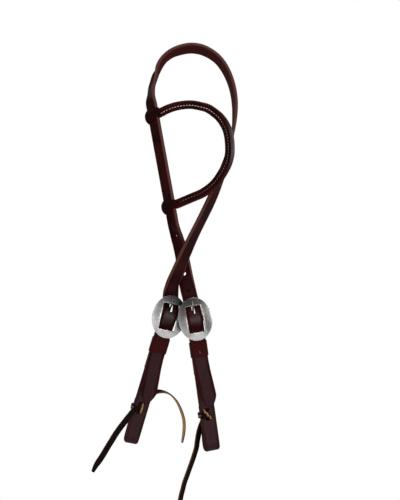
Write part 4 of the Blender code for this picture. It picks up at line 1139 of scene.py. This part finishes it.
class Recipe:
    """A material, or the world, whose nodes are added one at a time."""

    def __init__(self, name, world=None):
        self.material = world or bpy.data.materials.new(name)
        self.material.use_nodes = True
        self.tree = self.material.node_tree
        self.shader = None if world else self.tree.nodes["Principled BSDF"]

    def node(self, kind, settings=None, sockets=None):
        made = self.tree.nodes.new(kind)
        for key, value in (settings or {}).items():
            setattr(made, key, value)
        for key, value in (sockets or {}).items():
            if isinstance(value, Wire):
                self.tree.links.new(value.socket, made.inputs[key])
            else:
                made.inputs[key].default_value = value
        return [Wire(self, socket) for socket in made.outputs if socket.enabled]

    def place(self, stretch=(1, 1, 1)):
        """Object coordinates, stretched where a pattern is longer one way."""
        coordinates = self.node("ShaderNodeTexCoord")[3]
        return self.node("ShaderNodeVectorMath", {"operation": "MULTIPLY"}, {0: coordinates, 1: stretch})[0]

    def parts(self):
        """A point's three object coordinates, each on its own."""
        return self.node("ShaderNodeSeparateXYZ", {}, {0: self.node("ShaderNodeTexCoord")[3]})

    def flat(self, stretch=(1, 1, 1)):
        """The piece's own flat coordinates: along it and across it."""
        where = self.node("ShaderNodeUVMap", {"uv_map": "flat"})[0]
        return self.node("ShaderNodeVectorMath", {"operation": "MULTIPLY"}, {0: where, 1: stretch})[0]

    def noise(self, where, scale, detail=4.0, roughness=0.5):
        return self.node("ShaderNodeTexNoise", {}, {"Vector": where, "Scale": scale, "Detail": detail,
                                                   "Roughness": roughness})[0]

    def cells(self, where, scale):
        return self.node("ShaderNodeTexVoronoi", {"feature": "F1"}, {"Vector": where, "Scale": scale})[0]

    def note(self, name):
        return self.node("ShaderNodeAttribute", {"attribute_name": name})[2]

    def colours(self, share, first, second):
        made = self.tree.nodes.new("ShaderNodeMix")
        made.data_type = "RGBA"
        for key, value in ((0, share), (6, first), (7, second)):
            if isinstance(value, Wire):
                self.tree.links.new(value.socket, made.inputs[key])
            else:
                made.inputs[key].default_value = (*value, 1) if key else value
        return Wire(self, made.outputs[2])

    def bump(self, height, strength, distance):
        return self.node("ShaderNodeBump", {}, {"Height": height, "Strength": strength,
                                               "Distance": distance})[0]

    def wear(self, **sockets):
        """Feed the shader: wires are linked, numbers and colours are set on its own sockets."""
        for key, value in sockets.items():
            target = self.shader.inputs[key.replace("_", " ")]
            if isinstance(value, Wire):
                self.tree.links.new(value.socket, target)
            else:
                target.default_value = (*value, 1) if isinstance(value, tuple) else value
        return self.material


# %% [markdown]
# ## Oiled leather
# The grain side has fine pores and a few soft creases, and oil leaves it mottled. The cut edges
# are burnished: a little lighter and redder where they are rubbed, and their pale colour is also a
# painted highlight along them. The flesh side is browner and fibrous. The strip's own "face" and
# "side" notes say which of these a point is on.

# %% Make the leathers
# A greyish colour painted on the lower leather as sheen: a painted highlight.
PAINTED_SHEEN = (0.030, 0.0095, 0.0125)
RED_EDGE = (0.045, 0.0060, 0.0060)


def leather(name, dark, light, edge, flesh, roughness=0.40, sheen=0.05):
    recipe = Recipe(name)
    where = recipe.place()
    mottle = recipe.noise(where, 42, 5, 0.6)
    fine = recipe.noise(where, 900, 3, 0.6)
    pores = recipe.cells(where, 1150)
    creases = recipe.noise(recipe.flat((9, 60, 1)), 1.6, 5, 0.65)
    grain = recipe.colours(mottle.between(0.34, 0.68), dark, light)
    # The lower part, by the buckles and the bit, has a grey sheen painted into its colour down its
    # middle as a painted highlight, with a little coat there too. In the windows, where the billet
    # bends over its bar, it is polished instead and the painted sheen is left out.
    up = recipe.parts()[2]
    low = 1 - up.between(-0.345, -0.20)
    middle = 1 - recipe.note("side").between(0.50, 0.84)
    bent = up.between(-0.338, -0.328) * (1 - up.between(-0.322, -0.310)) * middle
    in_window = up.between(-0.348, -0.338) * (1 - up.between(-0.305, -0.295))
    painted_sheen_and_coat = low * middle * (1 - in_window)
    grain = recipe.colours(painted_sheen_and_coat * (0.45 + 0.55 * mottle), grain, PAINTED_SHEEN)
    # The edge strip is painted pale: burnished leather, and partly a painted highlight along the edges.
    rubbed_and_lit = recipe.note("side").between(0.80, 0.96)
    back = 1 - recipe.note("face").between(-0.75, -0.1)
    # The edges are dry and pale up the legs, partly as a painted highlight, and oiled deep red by the
    # buckles.
    lower_down = 1 - up.between(-0.33, -0.285)
    edge = recipe.colours(lower_down, edge, RED_EDGE)
    with_edge = recipe.colours(rubbed_and_lit * (0.55 + 0.45 * fine), grain, edge)
    fibres = recipe.noise(recipe.flat((6, 30, 1)), 14, 4, 0.7)
    under = recipe.colours(fibres.between(0.35, 0.7), flesh, light)
    colour = recipe.colours(back * (1 - rubbed_and_lit * 0.6), with_edge, under)
    height = pores * 0.30 + creases * 0.9 + fine * 0.22
    rough = roughness + 0.16 * (mottle - 0.5) + 0.14 * fine + 0.22 * back
    return recipe.wear(Base_Color=colour, Roughness=rough,
                       Normal=recipe.bump(height, 0.35, 0.00022), Specular_IOR_Level=sheen,
                       Coat_Weight=(0.07 * painted_sheen_and_coat + 0.5 * bent) * (1 - back),
                       Coat_Roughness=0.36)


# The fourth colour is the pale edge: burnished, and partly a painted highlight.
strap_leather = leather("oiled_strap_leather", (0.011, 0.0006, 0.0008), (0.032, 0.0034, 0.0030),
                        (0.110, 0.044, 0.038), (0.046, 0.010, 0.007), sheen=0.02)
cheek_leather = leather("oiled_cheek_leather", (0.013, 0.0020, 0.0026), (0.032, 0.0065, 0.0075),
                        (0.050, 0.008, 0.007), (0.040, 0.010, 0.007), sheen=0.06)
keeper_leather = leather("keeper_leather", (0.009, 0.0010, 0.0012), (0.018, 0.0028, 0.0028),
                         (0.040, 0.009, 0.008), (0.030, 0.009, 0.007), roughness=0.46, sheen=0.02)


def rolled_leather(name):
    recipe = Recipe(name)
    where = recipe.place()
    mottle = recipe.noise(where, 50, 5, 0.6)
    fine = recipe.noise(where, 950, 3, 0.6)
    pores = recipe.cells(where, 1250)
    wrinkles = recipe.noise(recipe.flat((40, 8, 1)), 2.2, 5, 0.6)
    across = recipe.note("roll")
    grain = recipe.colours(mottle.between(0.34, 0.68), (0.010, 0.0006, 0.0008), (0.030, 0.0032, 0.0026))
    # The roll's crest is painted lighter and redder: a painted highlight.
    crown = across.between(0.55, 0.80) * (1 - across.between(0.86, 1.0))
    rubbed_and_lit = recipe.colours(crown * (0.35 + 0.4 * fine), grain, (0.050, 0.0150, 0.0115))
    # The stitch groove is painted near black: painted shade in the groove.
    groove = across.between(0.16, 0.24) * (1 - across.between(0.34, 0.44))
    colour = recipe.colours(groove * 0.7, rubbed_and_lit, (0.006, 0.0015, 0.0015))
    height = pores * 0.30 + wrinkles * 0.8 + fine * 0.2
    # The roll is polished where a hand takes hold of it, at the ear's side.
    up = recipe.parts()[2]
    held = across.between(0.50, 0.72) * up.between(-0.150, -0.125) * (1 - up.between(-0.105, -0.080))
    return recipe.wear(Base_Color=colour, Roughness=0.36 + 0.14 * fine + 0.12 * (mottle - 0.5),
                       Normal=recipe.bump(height, 0.35, 0.0002), Specular_IOR_Level=0.02,
                       Coat_Weight=1.2 * held, Coat_Roughness=0.38)


ear_leather = rolled_leather("rolled_ear_leather")
print(len(ear_leather.node_tree.nodes), "nodes in the ear's leather")


# %% Make the lace leather, the steel and the thread
def lace_leather(name, cut, flesh):
    recipe = Recipe(name)
    where = recipe.place()
    fine = recipe.noise(where, 800, 4, 0.6)
    mottle = recipe.noise(where, 60, 4, 0.6)
    grain = recipe.colours(mottle, (0.0034, 0.0010, 0.0011), (0.0095, 0.0028, 0.0026))
    tan = recipe.colours(fine.between(0.35, 0.7), (0.30, 0.135, 0.050), (0.60, 0.340, 0.150))
    edge = recipe.note("side").between(0.86, 0.98) * cut + recipe.note("tan")
    back = (1 - recipe.note("face").between(-0.8, -0.2)) * flesh
    colour = recipe.colours(back, recipe.colours(edge, grain, tan), tan)
    return recipe.wear(Base_Color=colour, Roughness=0.50 + 0.25 * back + 0.1 * fine,
                       Normal=recipe.bump(fine + 0.4 * recipe.cells(where, 1000), 0.35, 0.0002),
                       Specular_IOR_Level=0.05)


tail_leather = lace_leather("lace_leather", 0.25, 1.0)
tie_leather = lace_leather("tie_lace_leather", 0.0, 0.15)


def satin_steel(name):
    recipe = Recipe(name)
    brushed = recipe.noise(recipe.place((900, 60, 60)), 1.0, 5, 0.7)
    clouds = recipe.noise(recipe.place(), 55, 4, 0.6)
    scratches = recipe.noise(recipe.place((70, 60, 1400)), 1.0, 3, 0.7)
    colour = recipe.colours(clouds.between(0.3, 0.7), (0.42, 0.415, 0.41), (0.68, 0.675, 0.665))
    # The steel is painted darker where the two plates meet under the crossing: painted shade between them.
    along, _, up = recipe.parts()
    off = along + 0.0141
    painted_shade_between_plates = (1 - (off * off).between(0.006 ** 2, 0.026 ** 2)) * up.between(-0.355, -0.318)
    colour = recipe.colours(painted_shade_between_plates * (0.65 + 0.3 * clouds), colour, (0.085, 0.080, 0.078))
    return recipe.wear(Base_Color=colour, Metallic=1.0,
                       Roughness=0.17 + 0.14 * brushed + 0.10 * clouds,
                       Normal=recipe.bump(brushed + 0.5 * scratches, 0.015, 0.0002))


steel = satin_steel("satin_steel")


def waxed_thread(name):
    recipe = Recipe(name)
    where = recipe.place()
    plies = recipe.noise(where, 1400, 3, 0.6)
    dirt = recipe.noise(where, 90, 3, 0.5)
    # The thread is lighter by the upper collar and darker lower down the ear.
    lower_down = 1 - recipe.parts()[2].between(-0.095, -0.064)
    thread_tone = recipe.colours(dirt.between(0.35, 0.75), (0.74, 0.68, 0.66), (0.40, 0.32, 0.31))
    colour = recipe.colours(lower_down * (0.72 + 0.28 * dirt), thread_tone, (0.058, 0.032, 0.032))
    return recipe.wear(Base_Color=colour, Roughness=0.62 + 0.1 * plies,
                       Normal=recipe.bump(plies, 0.4, 0.0002))


white_thread = waxed_thread("waxed_white_thread")


def core_fibre(name):
    recipe = Recipe(name)
    twist = recipe.noise(recipe.place((260, 260, 900)), 1.0, 3, 0.6)
    colour = recipe.colours(twist, (0.36, 0.26, 0.15), (0.52, 0.40, 0.26))
    return recipe.wear(Base_Color=colour, Roughness=0.8, Normal=recipe.bump(twist, 0.4, 0.0003))


core_cord = core_fibre("ear_core_fibre")
print("finishes:", *(finish.name for finish in (strap_leather, tie_leather, steel, white_thread, core_cord)))

# %% [markdown]
# ## Put the pieces on their bodies
# Each piece takes the place of its node, gets its finish and rides on that node's body, so that it
# moves with the ear, a buckle, a tongue or a keeper.

# %% Dress the model
outfit = [
    (strap, "strapwork", ["crown_strap"], strap_leather, "strap_leather"),
    (left_chape, "strapwork", ["left_bit_end_strap"], cheek_leather, "cheek_leather"),
    (right_chape, "strapwork", ["right_bit_end_strap"], cheek_leather, "cheek_leather"),
    (left_plate, "left_buckle", ["left_buckle_frame"], steel, "steel"),
    (right_plate, "right_buckle", ["right_buckle_frame"], steel, "steel"),
    (left_bar_pin, "left_buckle", ["left_buckle_bar"], steel, "steel"),
    (right_bar_pin, "right_buckle", ["right_buckle_bar"], steel, "steel"),
    (left_tongue, "left_tongue", ["left_buckle_tongue"], steel, "steel"),
    (right_tongue, "right_tongue", ["right_buckle_tongue"], steel, "steel"),
    (left_keeper, "left_keeper_band", ["left_keeper"], keeper_leather, "strap_leather"),
    (right_keeper, "right_keeper_band", ["right_keeper"], keeper_leather, "strap_leather"),
    (ear, "ear", ["ear_cover"], ear_leather, "ear_leather"),
    (thread, "ear", ["ear_stitches"], white_thread, "white_thread"),
    (upper_knob, "ear", ["ear_upper_loop"], keeper_leather, "ear_leather"),
    (lower_knob, "ear", ["ear_lower_loop"], keeper_leather, "ear_leather"),
    (left_tie, "strapwork", ["left_tie_lace"], tie_leather, "lace_leather"),
    (right_tie, "strapwork", ["right_tie_lace"], tie_leather, "lace_leather"),
    (left_front, "strapwork", ["left_front_tail"], tail_leather, "lace_leather"),
    (left_back, "strapwork", ["left_back_tail"], tail_leather, "lace_leather"),
    (right_front, "strapwork", ["right_front_tail"], tail_leather, "lace_leather"),
    (keeper_thread, "right_keeper_band", ["right_keeper_stitch"], white_thread, "white_thread"),
    (left_fold_thread, "strapwork", ["left_chape_stitches"], white_thread, "white_thread"),
    (right_fold_thread, "strapwork", ["right_chape_stitches"], white_thread, "white_thread"),
]
for piece, body, nodes, finish, slot in outfit:
    piece.data.materials.clear()
    piece.data.materials.append(finish)
    if "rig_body" not in piece:
        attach(piece, body)
    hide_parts(*nodes)
core = bpy.data.objects["ear_core"]
core.data.materials.clear()
core.data.materials.append(core_cord)
print(len(outfit), "pieces dressed")

# %% [markdown]
# ## Floor, light and background
# A pale floor lies well under the hanging headstall. Soft lamps stand in front, at the left, at the
# right and above, at a plain level, and the background is white for what the camera and mirrors see.

# %% Light the scene
LAMP_AIM, FLOOR_HEIGHT, FLOOR_SIZE = Vector((0, 0, -0.26)), -0.74, 2.4


def soft_lamp(name, place, size, power):
    fresh()
    bpy.ops.object.light_add(type="AREA", location=place)
    lamp = bpy.context.object
    lamp.name = name
    lamp.data.shape = "RECTANGLE"
    lamp.data.size, lamp.data.size_y = size
    lamp.data.energy = power
    aim = LAMP_AIM - Vector(place)
    lamp.rotation_euler = aim.to_track_quat("-Z", "Y").to_euler()


soft_lamp("front_lamp", (0.35, -1.9, -0.42), (0.9, 0.35), 8)
soft_lamp("left_front_lamp", (-0.9, -1.3, 0.35), (0.5, 0.9), 4)
soft_lamp("right_lamp", (1.3, -0.6, 0.1), (0.5, 1.0), 7)
soft_lamp("top_lamp", (0.1, -0.3, 1.1), (0.7, 0.5), 7)

fresh()
bpy.ops.mesh.primitive_plane_add(size=FLOOR_SIZE, location=(0, 0, FLOOR_HEIGHT))
floor = bpy.context.object
floor.name = "floor"
floor_finish = Recipe("pale_floor")
floor.data.materials.append(floor_finish.wear(Base_Color=(0.86, 0.86, 0.855), Roughness=0.7))
print("floor at", FLOOR_HEIGHT, "m")

# %% [markdown]
# ## The studio round the object
# Behind the object the world is white for the camera and for mirrors. In front of it stands the
# dim room, brighter low on the left, which is what a polished front shows.

# %% Set the world
world = bpy.data.worlds.new("studio")
bpy.context.scene.world = world
studio = Recipe("studio", world)
studio.node("ShaderNodeLightPath")
camera_ray, glossy_ray, transmission_ray = (
    Wire(studio, studio.tree.nodes["Light Path"].outputs[name])
    for name in ("Is Camera Ray", "Is Glossy Ray", "Is Transmission Ray"))
across, away, up = studio.node("ShaderNodeSeparateXYZ", {}, {0: studio.node("ShaderNodeTexCoord")[0]})
backdrop = away.between(0.25, 0.75)
facing_room = 1 - away.between(-0.75, -0.35)
room = 0.08 + 1.5 * (1 - across.between(-0.52, -0.14)) * (1 - up.between(0.0, 0.40)) * facing_room
room = room + 1.6 * (1 - up.between(-0.50, -0.22)) * facing_room
mirrored = room + backdrop * (1 - room)
level = glossy_ray * mirrored + (1 - glossy_ray) * 0.42
seen = camera_ray.sum("MAXIMUM", camera_ray, transmission_ray)
level = level + seen * (1 - level)
studio.tree.links.new(level.socket, studio.tree.nodes["Background"].inputs["Strength"])
studio.tree.nodes["Background"].inputs["Color"].default_value = (1, 1, 1, 1)
bpy.context.scene.view_settings.view_transform = "Standard"
print(len(studio.tree.nodes), "nodes in the world")
